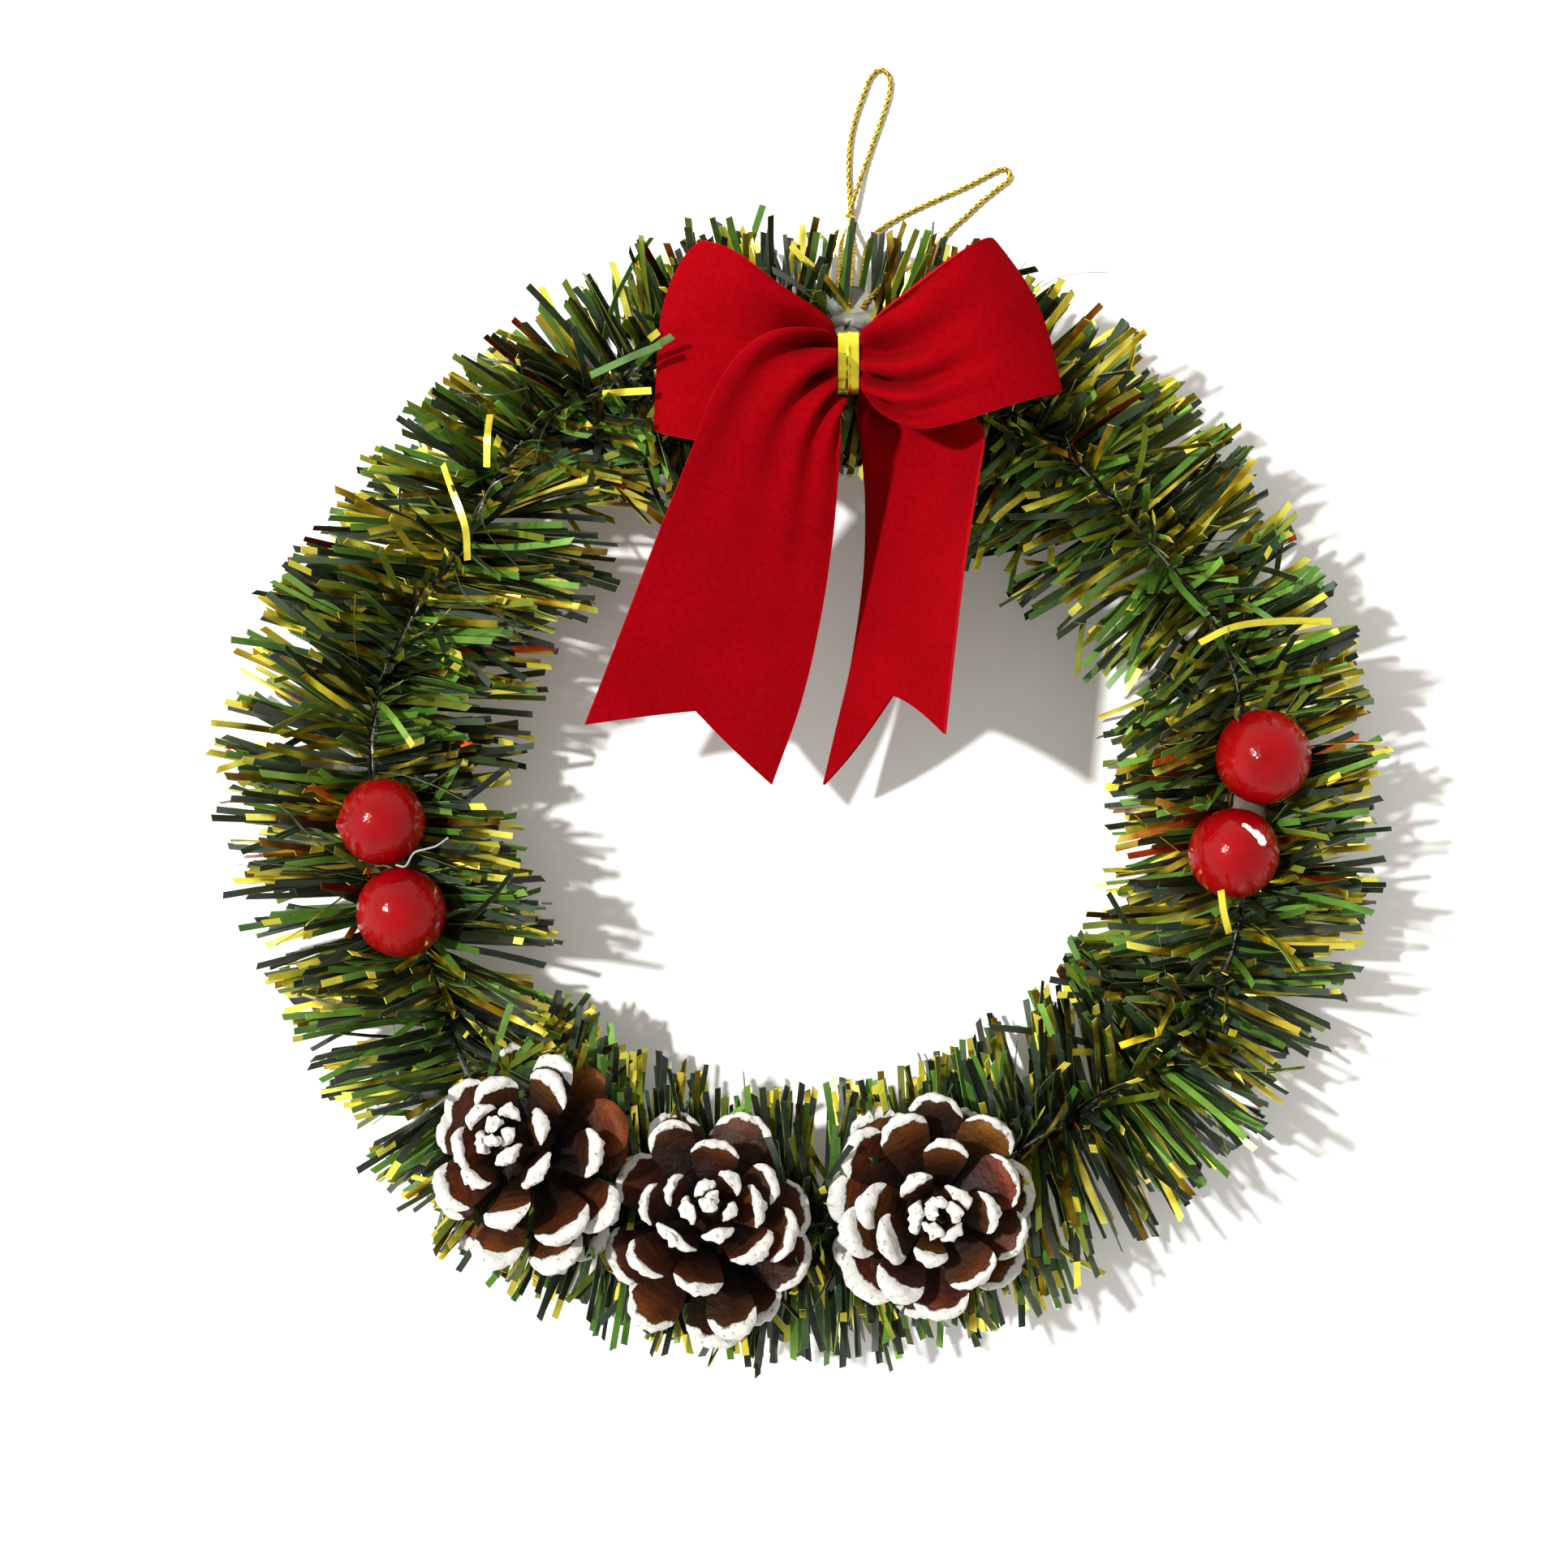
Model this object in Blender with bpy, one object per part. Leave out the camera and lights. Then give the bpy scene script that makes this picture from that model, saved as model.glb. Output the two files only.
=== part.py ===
"""A small artificial door wreath, lying face up on a table.

Tinsel strips are gripped between two wires that are twisted together and bent to a
ring. Hot glue holds three pine cones, four red berries and a velvet bow on the ring,
and two loops of gold cord come out of the glue behind the bow.

X is to the right, Y towards the bow and Z up, out of the wreath's face. The origin is
on the table, under the middle of the ring of tinsel. Sizes are in millimetres, and
every mesh and curve is written in metres.
"""

import math
import random

import bmesh
import bpy
from mathutils import Vector
from mathutils.kdtree import KDTree

MM = 0.001
GAP = 0.3
SEED = 12
GOLDEN_TURN = 0.381966

# The ring of the core: its middle, its mean radius, its height over the table, and its
# bends as (angle in degrees from +X, radius)
RING_X = 2.0
RING_Y = 2.6
RING_RADIUS = 83.0
CORE_HEIGHT = 17.0
CORE_BENDS = (
    (0, 83.2),
    (16, 83.0),
    (34, 78.2),
    (57, 78.3),
    (85, 82.5),
    (110, 83.0),
    (134, 82.8),
    (147, 79.0),
    (160, 81.7),
    (176, 83.8),
    (208, 81.0),
    (225, 88.0),
    (248, 87.5),
    (270, 86.8),
    (301, 82.5),
    (318, 85.5),
    (333, 88.0),
)

# The two twisted wires
WIRE_RADIUS = 0.5
WIRE_OFFSET = 0.75
WIRE_TURNS = 10
WIRE_POINTS_PER_TURN = 6
WIRE_END_GAP = 3.0

# The sleeve of bound strip roots that each spray grows from
SLEEVE_RADIUS = 3.6
SLEEVE_BORE = 1.97
SLEEVE_SIDES = 6

# Tinsel strips
STRIP_WIDTH = 2.0
STRIP_THICK = 0.75
STRIP_ROOT = 2.35
GREEN_PER_SPRAY = 18
GOLD_PER_SPRAY = 6
GREEN_SHARE = 0.72
LOWEST_ELEVATION = -36.0
HIGHEST_ELEVATION = 66.0
OUTER_LENGTH = (26.0, 29.0)
INNER_LENGTH = (24.0, 27.5)
# Share by which outer strips are longer at the left of the wreath, and shorter at its right
LONGER_AT_LEFT = 0.076
STRIP_LEAN = 7.0
STRIP_ROLL = 0.5

# How far a strip's middle line keeps from the ends of its spray, at its root and at its
# tip, and from everything else
ROOT_MARGIN = 1.15
TIP_MARGIN = 1.35
RIBBON_CLEARANCE = 2.3
BERRY_CLEARANCE = 1.6
CONE_CLEARANCE = 1.7
GLUE_CLEARANCE = 1.4
TABLE_CLEARANCE = 0.8

# A strip in the way of something is lowered by this many degrees at a time, then cut to
# this share of its length at a time
LOWERED_BY = 12.0
LOWERINGS = 6
CUT_TO = 0.72
CUTS = 3

# Strips that the wreath rests on: share of the way along the spray, and side of the core.
# Each runs down from its root to a knee, and then lies flat on the table.
FEET = ((0.3, 1), (0.7, -1))
FOOT_ROOT = 2.5
FOOT_ROOT_DROP = 1.7
FOOT_KNEE = 14.3
FOOT_REACH = 26.3

# Hot glue under what it holds: name, angle on the ring, half the stretch of core that it
# covers in degrees, and its blobs. A blob is its push outwards from the core, its height
# over the core, and its half sizes along the core, across it and up.
BOW_ANGLE = 85.0
HELD_WITHIN = 20.0
BERRY_GLUE = ((-1.2, 1.0, (7.1, 5.2, 6.0)),)
CONE_GLUE = ((1.2, 1.0, (5.4, 5.6, 6.4)),)
BOW_GLUE = ((-4.6, 8.6, (4.6, 6.2, 7.9)), (3.6, 4.2, (5.0, 6.6, 8.0)))
GLUE_SPOTS = (
    ("glue_right_berries", -4.7, 5.2, BERRY_GLUE),
    ("glue_behind_bow", BOW_ANGLE, 4.1, BOW_GLUE),
    ("glue_left_berries", 193.0, 5.2, BERRY_GLUE),
    ("glue_left_cone", 236.0, 4.0, CONE_GLUE),
    ("glue_middle_cone", 257.9, 4.0, CONE_GLUE),
    ("glue_right_cone", 285.2, 4.0, CONE_GLUE),
)

# Each free stretch of the ring between two glue spots holds this many pairs of sprays,
# whose strips keep this many degrees from the middle of the glue
PAIRS_PER_STRETCH = (4, 5, 2, 1, 1, 3)
SPOT_MARGIN = 0.6

# Berries: name, centre, radius
BERRIES = (
    ("berry_left_upper", (-77.9, -6.9, 30.6), 8.2),
    ("berry_left_lower", (-74.4, -23.8, 29.8), 8.5),
    ("berry_right_upper", (86.5, 5.2, 30.6), 9.0),
    ("berry_right_lower", (81.1, -12.8, 29.8), 8.6),
)

# Pine cones: name, point on the axis at the widest whorl, lean of the axis in X and Y
# per unit of height, size against the standard cone, first turn
CONES = (
    ("pine_cone_left", (-50.3, -69.0, 33.0), (-0.30, 0.42), 1.0, 0.0),
    ("pine_cone_middle", (-16.8, -81.4, 33.0), (0.03, 0.42), 1.0, 0.35),
    ("pine_cone_right", (24.5, -78.8, 32.0), (0.04, 0.04), 1.03, 0.7),
)
CONE_WIDEST_HEIGHT = 11.0
CONE_SCALES = 31
CONE_CROWDING = 0.85
# Share by which scales are longer towards and away from the bow than to the sides
CONE_LONGER = 0.2
CONE_CORE = ((0.0, 4.2), (7.0, 5.4), (16.0, 4.4), (24.0, 1.8))
CONE_CORE_SIDES = 8
# The outer form of a cone's scales: widest up to its shoulder, domed above it, and drawn
# in below its skirt
CONE_TOP = 31.0
CONE_RADIUS = 20.0
CONE_SHOULDER = 12.0
CONE_SKIRT = 3.0
CONE_FOOT_RADIUS = 12.0
# A scale's place up the cone: share of the way, height of its root, its length from
# the axis, its rise in degrees, its width
SCALE_STATIONS = (
    (0.0, 4.0, 18.6, 2.0, 12.0),
    (0.3, 7.0, 19.6, 14.0, 12.4),
    (0.5, 11.0, 16.6, 30.0, 10.6),
    (0.7, 15.0, 13.0, 46.0, 8.4),
    (0.85, 18.5, 10.4, 60.0, 6.2),
    (1.0, 21.5, 8.6, 80.0, 4.2),
)
SCALE_THICK = 2.4
SCALE_ROOT = 2.6
SCALE_ROOT_THICK = 1.2
# Where a scale is widest and where its ridge is highest, as shares of its length, and
# its half widths at root and tip as shares of its width
SCALE_WIDEST = 0.76
SCALE_RIDGE = 0.86
SCALE_ROOT_HALF = 0.22
SCALE_TIP_HALF = 0.28

# The bow's pinch and the gold tie round it
PINCH = (8.9, 77.6, 38.0)
KNOT_RADII = (7.0, 5.3, 3.7)
TIE_WIDTH = 4.0
TIE_THICK = 0.4
TIE_SIDES = 16

# The ribbon, as the two edges of each stretch of it, from the pinch outwards
RIBBON_THICK = 0.8
LEFT_LOOP_TOP = (
    (6.3, 82.8, 40.2), (2.1, 86.9, 44.0), (-4.5, 91.0, 47.5), (-11.8, 96.6, 47.5),
    (-16.8, 98.9, 44.0), (-17.8, 99.6, 37.5), (-15.2, 97.6, 31.0), (-6.8, 92.4, 29.5),
    (2.2, 86.6, 32.0), (6.3, 82.4, 36.0),
)
LEFT_LOOP_BOTTOM = (
    (6.3, 72.4, 39.6), (2.1, 68.8, 42.0), (-5.2, 65.1, 44.0), (-15.5, 62.8, 43.0),
    (-23.7, 64.0, 40.5), (-26.8, 65.9, 35.5), (-23.8, 67.7, 30.0), (-12.9, 70.2, 28.5),
    (-0.8, 72.0, 31.0), (6.3, 72.8, 36.0),
)
RIGHT_LOOP_TOP = (
    (11.5, 82.8, 40.2), (14.8, 85.9, 45.0), (21.0, 90.1, 51.0), (28.3, 95.4, 52.0),
    (33.1, 98.5, 49.0), (35.4, 99.2, 42.0), (33.0, 97.0, 35.5), (24.9, 91.2, 33.0),
    (16.5, 85.5, 33.5), (11.5, 82.4, 36.0),
)
RIGHT_LOOP_BOTTOM = (
    (11.5, 72.4, 40.2), (14.8, 67.8, 45.0), (21.1, 64.4, 50.0), (29.0, 65.4, 52.0),
    (38.6, 68.6, 50.0), (47.4, 71.7, 43.5), (44.9, 71.5, 37.0), (33.9, 71.6, 35.0),
    (20.3, 72.2, 34.0), (11.5, 73.0, 36.0),
)
LEFT_TAIL_OUTER = (
    (6.3, 81.6, 41.0), (2.1, 82.5, 47.5), (-4.5, 81.3, 53.0), (-10.3, 77.5, 55.0),
    (-15.4, 70.8, 53.0), (-20.0, 59.9, 47.0), (-25.8, 46.4, 41.0), (-32.3, 30.3, 36.0),
    (-40.0, 11.2, 32.0),
)
LEFT_TAIL_INNER = (
    (6.3, 73.2, 41.0), (7.0, 69.0, 43.5), (7.3, 65.6, 45.0), (7.3, 61.5, 44.0),
    (7.0, 55.5, 40.5), (6.1, 45.5, 35.5), (4.0, 31.5, 30.5), (0.4, 15.8, 27.0),
    (-5.2, 0.0, 24.0),
)
RIGHT_TAIL_INNER = (
    (11.5, 74.4, 36.0), (10.8, 68.8, 31.5), (11.9, 61.6, 26.5), (12.6, 52.9, 22.0),
    (12.3, 39.4, 19.0), (10.1, 23.4, 17.5), (7.3, 11.1, 16.5), (4.7, 0.0, 16.0),
)
RIGHT_TAIL_OUTER = (
    (11.5, 80.4, 36.0), (20.5, 73.5, 33.0), (28.5, 69.6, 35.5), (33.5, 65.0, 40.5),
    (32.2, 55.3, 45.5), (30.0, 42.6, 48.0), (28.2, 28.9, 49.0), (26.0, 9.1, 49.0),
)
LEFT_TAIL_NOTCH = 0.058
RIGHT_TAIL_NOTCH = 0.11
PLEATS = 2
PLEAT_REACH = 0.16
# Name, two edges, divisions along and across, depth of the pleats, whether both ends are
# gathered, and depth of the notch as a share of the length
RIBBON_STRETCHES = (
    ("left_loop", LEFT_LOOP_TOP, LEFT_LOOP_BOTTOM, 12, 6, 1.0, True, 0.0),
    ("right_loop", RIGHT_LOOP_TOP, RIGHT_LOOP_BOTTOM, 12, 6, 1.0, True, 0.0),
    ("left_tail", LEFT_TAIL_OUTER, LEFT_TAIL_INNER, 9, 6, 1.2, False, LEFT_TAIL_NOTCH),
    ("right_tail", RIGHT_TAIL_INNER, RIGHT_TAIL_OUTER, 8, 4, 0.8, False, RIGHT_TAIL_NOTCH),
)

# Hanging loops of twisted cord. Each starts and ends in the glue behind the bow.
CORD_RADIUS = 0.55
CORD_STEP = 3.2
STRAIGHT_LOOP = (
    (7.0, 90.4, 20.6), (7.4, 95.0, 17.6), (7.9, 101.0, 10.6), (8.4, 106.2, 4.6),
    (9.3, 110.2, 2.4), (10.3, 113.2, 2.2), (11.6, 117.2, 1.5), (12.9, 121.0, 0.8),
    (14.5, 125.6, 0.6), (16.2, 130.4, 0.6), (17.7, 135.2, 0.6), (17.9, 138.6, 0.6),
    (16.2, 140.4, 0.6), (14.2, 139.0, 0.6), (12.8, 135.6, 0.6), (11.3, 131.4, 0.6),
    (10.2, 126.6, 0.6), (9.8, 121.0, 0.6), (10.1, 114.2, 0.6), (10.6, 110.0, 1.1),
    (10.7, 105.6, 4.8), (10.4, 100.0, 12.0), (9.9, 95.0, 18.4), (9.4, 90.6, 22.6),
)
SLANTED_LOOP = (
    (11.2, 90.0, 17.0), (11.7, 94.6, 14.8), (12.4, 100.0, 9.6), (13.3, 105.0, 4.0),
    (15.4, 108.4, 1.2), (19.0, 110.9, 0.6), (23.7, 113.3, 0.6), (28.2, 115.3, 0.6),
    (33.0, 117.4, 0.6), (37.4, 119.7, 0.6), (40.4, 120.9, 0.6), (41.4, 119.0, 0.6),
    (38.9, 116.9, 0.6), (35.8, 114.4, 0.6), (32.8, 111.6, 0.6), (29.7, 108.8, 0.6),
    (27.2, 105.9, 1.2), (24.2, 102.8, 4.2), (21.1, 99.9, 9.2), (17.7, 97.0, 15.4),
    (14.6, 93.6, 20.6), (11.8, 90.2, 22.8),
)


def core_radius(angle):
    """Radius of the core at this angle in degrees, on a smooth curve through its bends."""
    angle %= 360
    before = [(a - 360, r) for a, r in CORE_BENDS[-2:]]
    after = [(a + 360, r) for a, r in CORE_BENDS[:2]]
    knots = before + list(CORE_BENDS) + after
    i = max(k for k in range(1, len(knots) - 2) if knots[k][0] <= angle)
    (a0, r0), (a1, r1), (a2, r2), (a3, r3) = knots[i - 1 : i + 3]
    step = a2 - a1
    t = (angle - a1) / step
    slope1 = (r2 - r0) / (a2 - a0) * step
    slope2 = (r3 - r1) / (a3 - a1) * step
    return (
        (2 * t**3 - 3 * t**2 + 1) * r1
        + (t**3 - 2 * t**2 + t) * slope1
        + (3 * t**2 - 2 * t**3) * r2
        + (t**3 - t**2) * slope2
    )


def ring_point(angle, radius, height):
    """A point at this angle and radius about the ring's middle."""
    turn = math.radians(angle)
    return Vector((RING_X + radius * math.cos(turn), RING_Y + radius * math.sin(turn), height))


def core_frame(angle):
    """The core's point at this angle, its direction there, and the way out of the ring."""
    point = ring_point(angle, core_radius(angle), CORE_HEIGHT)
    ahead = ring_point(angle + 0.5, core_radius(angle + 0.5), CORE_HEIGHT)
    behind = ring_point(angle - 0.5, core_radius(angle - 0.5), CORE_HEIGHT)
    along = (ahead - behind).normalized()
    return point, along, along.cross(Vector((0, 0, 1)))


def smooth_point(points, share):
    """The point this share of the way along a smooth curve through these points."""
    place = min(max(share, 0.0), 1.0) * (len(points) - 1)
    i = min(int(place), len(points) - 2)
    t = place - i
    p1 = Vector(points[i])
    p2 = Vector(points[i + 1])
    p0 = Vector(points[i - 1]) if i > 0 else 2 * p1 - p2
    p3 = Vector(points[i + 2]) if i + 2 < len(points) else 2 * p2 - p1
    return 0.5 * (
        2 * p1
        + (p2 - p0) * t
        + (2 * p0 - 5 * p1 + 4 * p2 - p3) * t**2
        + (3 * p1 - p0 - 3 * p2 + p3) * t**3
    )


def stations(table, share):
    """The row of the table at this share, between its nearest two rows."""
    for low, high in zip(table, table[1:]):
        if share <= high[0]:
            t = (share - low[0]) / (high[0] - low[0])
            return [a + (b - a) * t for a, b in zip(low[1:], high[1:])]
    return list(table[-1][1:])


def make_material(name, colour, roughness, metallic=0.0):
    """A plain Principled material."""
    material = bpy.data.materials.new(name)
    material.use_nodes = True
    shader = material.node_tree.nodes["Principled BSDF"]
    shader.inputs["Base Color"].default_value = (*colour, 1.0)
    shader.inputs["Roughness"].default_value = roughness
    shader.inputs["Metallic"].default_value = metallic
    return material


def add_object(name, data, material):
    """An object of this data in the scene, with its material."""
    data.materials.clear()
    data.materials.append(material)
    obj = bpy.data.objects.new(name, data)
    bpy.context.scene.collection.objects.link(obj)
    return obj


def mesh_object(name, bm, material, smooth_angle=None):
    """An object from a bmesh in millimetres, shaded smooth under this angle."""
    bmesh.ops.recalc_face_normals(bm, faces=bm.faces)
    if bm.calc_volume(signed=True) < 0:
        bmesh.ops.reverse_faces(bm, faces=bm.faces)
    bmesh.ops.scale(bm, vec=(MM, MM, MM), verts=bm.verts)
    mesh = bpy.data.meshes.new(name)
    bm.to_mesh(mesh)
    bm.free()
    obj = add_object(name, mesh, material)
    if smooth_angle:
        mesh.shade_smooth()
        mesh.set_sharp_from_angle(angle=math.radians(smooth_angle))
    return obj


def apply_modifiers(obj):
    """Keeps the object's evaluated mesh as its own and drops its modifiers."""
    graph = bpy.context.evaluated_depsgraph_get()
    mesh = bpy.data.meshes.new_from_object(obj.evaluated_get(graph))
    obj.modifiers.clear()
    obj.data = mesh


def tube_cutter(points, radius, resolution, material):
    """A closed tube as a mesh, to cut a bore with."""
    curve = tube("bore", points, radius, resolution, material)
    graph = bpy.context.evaluated_depsgraph_get()
    bm = bmesh.new()
    bm.from_mesh(curve.evaluated_get(graph).to_mesh())
    bpy.data.objects.remove(curve)
    bmesh.ops.scale(bm, vec=(1 / MM, 1 / MM, 1 / MM), verts=bm.verts)
    bmesh.ops.remove_doubles(bm, verts=bm.verts, dist=0.001)
    return mesh_object("bore", bm, material)


def keep_outer_shell(obj):
    """Drops every closed shell of the mesh but the largest: sealed hollows and scraps."""
    bm = bmesh.new()
    bm.from_mesh(obj.data)
    unseen = set(bm.faces)
    shells = []
    while unseen:
        shell = []
        stack = [unseen.pop()]
        while stack:
            face = stack.pop()
            shell.append(face)
            near = {other for edge in face.edges for other in edge.link_faces} & unseen
            unseen -= near
            stack += near
        reach = [vert.co for face in shell for vert in face.verts]
        size = sum(max(p[k] for p in reach) - min(p[k] for p in reach) for k in range(3))
        shells.append((size, shell))
    shells.sort(key=lambda item: item[0])
    for _, shell in shells[:-1]:
        bmesh.ops.delete(bm, geom=shell, context="FACES")
    bm.to_mesh(obj.data)
    bm.free()


def combine(body, others, operation, solver="EXACT"):
    """One Boolean of the body with all the others, which are then removed."""
    group = bpy.data.collections.new(body.name + "_parts")
    bpy.context.scene.collection.children.link(group)
    for other in others:
        bpy.context.scene.collection.objects.unlink(other)
        group.objects.link(other)
    modifier = body.modifiers.new("Combine", "BOOLEAN")
    modifier.operation = operation
    modifier.operand_type = "COLLECTION"
    modifier.collection = group
    modifier.solver = solver
    apply_modifiers(body)
    keep_outer_shell(body)
    for other in others:
        bpy.data.objects.remove(other)
    bpy.data.collections.remove(group)
    return body


def bridge(bm, rings, close_ends=True):
    """Quads between rings of equal length, with an end face on the first and the last."""
    for ring, following in zip(rings, rings[1:]):
        for i in range(len(ring)):
            j = (i + 1) % len(ring)
            bm.faces.new((ring[i], ring[j], following[j], following[i]))
    if close_ends:
        bm.faces.new(rings[0][::-1])
        bm.faces.new(rings[-1])


def ellipsoid(name, centre, radii, segments, rings, material, turn=0.0):
    """A round body with these radii, turned about Z by this many degrees."""
    bm = bmesh.new()
    bmesh.ops.create_uvsphere(bm, u_segments=segments, v_segments=rings, radius=1.0)
    cos, sin = math.cos(math.radians(turn)), math.sin(math.radians(turn))
    for vert in bm.verts:
        x, y, z = (c * r for c, r in zip(vert.co, radii))
        vert.co = Vector((x * cos - y * sin, x * sin + y * cos, z)) + Vector(centre)
    return mesh_object(name, bm, material, 60)


def tube(name, points, radius, resolution, material):
    """A round tube with closed ends along these points."""
    curve = bpy.data.curves.new(name, "CURVE")
    curve.dimensions = "3D"
    curve.bevel_depth = radius * MM
    curve.bevel_resolution = resolution
    curve.use_fill_caps = True
    spline = curve.splines.new("POLY")
    spline.points.add(len(points) - 1)
    for slot, point in zip(spline.points, points):
        slot.co = (*(Vector(point) * MM), 1.0)
    return add_object(name, curve, material)


def core_wire(name, phase, material):
    """One of the two wires that twist round each other along the ring."""
    count = WIRE_TURNS * WIRE_POINTS_PER_TURN
    start = BOW_ANGLE + WIRE_END_GAP / 2
    points = []
    for i in range(count + 1):
        centre, _, out = core_frame(start + (360 - WIRE_END_GAP) * i / count)
        spin = math.tau * (i / WIRE_POINTS_PER_TURN + phase)
        around = math.cos(spin) * out + math.sin(spin) * Vector((0, 0, 1))
        points.append(centre + WIRE_OFFSET * around)
    return tube(name, points, WIRE_RADIUS, 0, material)


def sleeve(name, start, end, steps, material):
    """The bound roots of a spray: a slim sleeve round the core wires."""
    bm = bmesh.new()
    rings = []
    for i in range(steps + 1):
        centre, _, out = core_frame(start + (end - start) * i / steps)
        for radius in (SLEEVE_RADIUS, SLEEVE_BORE):
            ring = []
            for k in range(SLEEVE_SIDES):
                turn = math.tau * k / SLEEVE_SIDES
                spoke = math.cos(turn) * out + math.sin(turn) * Vector((0, 0, 1))
                ring.append(bm.verts.new(centre + radius * spoke))
            rings.append(ring)
    bridge(bm, rings[0::2], close_ends=False)
    bridge(bm, [ring[::-1] for ring in rings[1::2]], close_ends=False)
    bridge(bm, rings[0:2], close_ends=False)
    bridge(bm, rings[-2:], close_ends=False)
    return mesh_object(name, bm, material)


def strip(root, tip, across, material):
    """A straight tinsel strip with a cut end: flat below, with a low ridge above."""
    along = (tip - root).normalized()
    across = (across - across.dot(along) * along).normalized()
    up = along.cross(across)
    section = (
        -across * STRIP_WIDTH / 2 - up * STRIP_THICK / 3,
        across * STRIP_WIDTH / 2 - up * STRIP_THICK / 3,
        up * STRIP_THICK * 2 / 3,
    )
    bm = bmesh.new()
    rings = [[bm.verts.new(end + corner) for corner in section] for end in (root, tip)]
    bridge(bm, rings)
    return mesh_object("strip", bm, material)


def foot_strip(angle, side, material):
    """A strip pressed down by the wreath's weight, whose outer half lies on the table."""
    centre, along, out = core_frame(angle)
    root_height = CORE_HEIGHT - FOOT_ROOT_DROP
    outline = (
        (FOOT_ROOT, root_height),
        (FOOT_KNEE, STRIP_THICK),
        (FOOT_REACH, STRIP_THICK),
        (FOOT_REACH, 0.0),
        (FOOT_KNEE - STRIP_THICK * 0.4, 0.0),
        (FOOT_ROOT - STRIP_THICK * 0.4, root_height - STRIP_THICK * 1.2),
    )
    bm = bmesh.new()
    rings = []
    for shift in (-STRIP_WIDTH / 2, STRIP_WIDTH / 2):
        ring = []
        for reach, height in outline:
            place = centre + side * out * reach + along * shift
            ring.append(bm.verts.new((place.x, place.y, height)))
        rings.append(ring)
    bridge(bm, rings)
    return mesh_object("foot", bm, material)


class Obstacles:
    """What a tinsel strip has to stay clear of."""

    def __init__(self, points):
        self.tree = KDTree(len(points))
        for i, point in enumerate(points):
            self.tree.insert(point, i)
        self.tree.balance()
        self.blobs = glue_blobs()

    def clear(self, root, tip):
        """Whether a straight strip from root to tip misses everything and the table."""
        for i in range(13):
            point = root.lerp(tip, i / 12)
            if point.z < TABLE_CLEARANCE:
                return False
            if self.tree.find(point)[2] < RIBBON_CLEARANCE:
                return False
            if any((point - Vector(c)).length < r + BERRY_CLEARANCE for _, c, r in BERRIES):
                return False
            if any(inside_cone(point, cone, CONE_CLEARANCE) for cone in CONES):
                return False
            if any(inside_blob(point, blob, GLUE_CLEARANCE) for blob in self.blobs):
                return False
        return True


def glue_blobs(name=None):
    """Each blob of this glue, or of all, as its middle, half sizes and turn about Z."""
    blobs = []
    for spot, angle, _, forms in GLUE_SPOTS:
        if name in (None, spot):
            centre, along, out = core_frame(angle)
            turn = math.degrees(math.atan2(along.y, along.x))
            for push, lift, radii in forms:
                blobs.append((centre + out * push + Vector((0, 0, lift)), radii, turn))
    return blobs


def inside_blob(point, blob, margin):
    """Whether the point lies within this margin of a blob of glue."""
    middle, radii, turn = blob
    away = point - middle
    cos, sin = math.cos(math.radians(turn)), math.sin(math.radians(turn))
    local = (away.x * cos + away.y * sin, away.y * cos - away.x * sin, away.z)
    return sum((c / (r + margin)) ** 2 for c, r in zip(local, radii)) < 1


def cone_axis(cone):
    """The cone's axis direction, and the middle of its base."""
    _, widest, lean, size, _ = cone
    axis = Vector((*lean, 1.0)).normalized()
    return axis, Vector(widest) - axis * CONE_WIDEST_HEIGHT * size


def inside_cone(point, cone, margin):
    """Whether the point lies within this margin of the cone's outer form."""
    axis, base = cone_axis(cone)
    size = cone[3]
    height = (point - base).dot(axis) / size
    spoke = (point - base) - (point - base).dot(axis) * axis
    radius = spoke.length
    if height < -margin or height > CONE_TOP + margin:
        return False
    above = max(0.0, height - CONE_SHOULDER) / CONE_RADIUS
    spread = CONE_RADIUS * math.sqrt(max(0.0, 1 - above**2))
    if height < CONE_SKIRT:
        share = max(0.0, height + margin) / (CONE_SKIRT + margin)
        spread = CONE_FOOT_RADIUS + (CONE_RADIUS - CONE_FOOT_RADIUS) * share
    longer = 1 + CONE_LONGER * spoke.normalized().y ** 2
    return radius < spread * size * longer + margin


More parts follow.
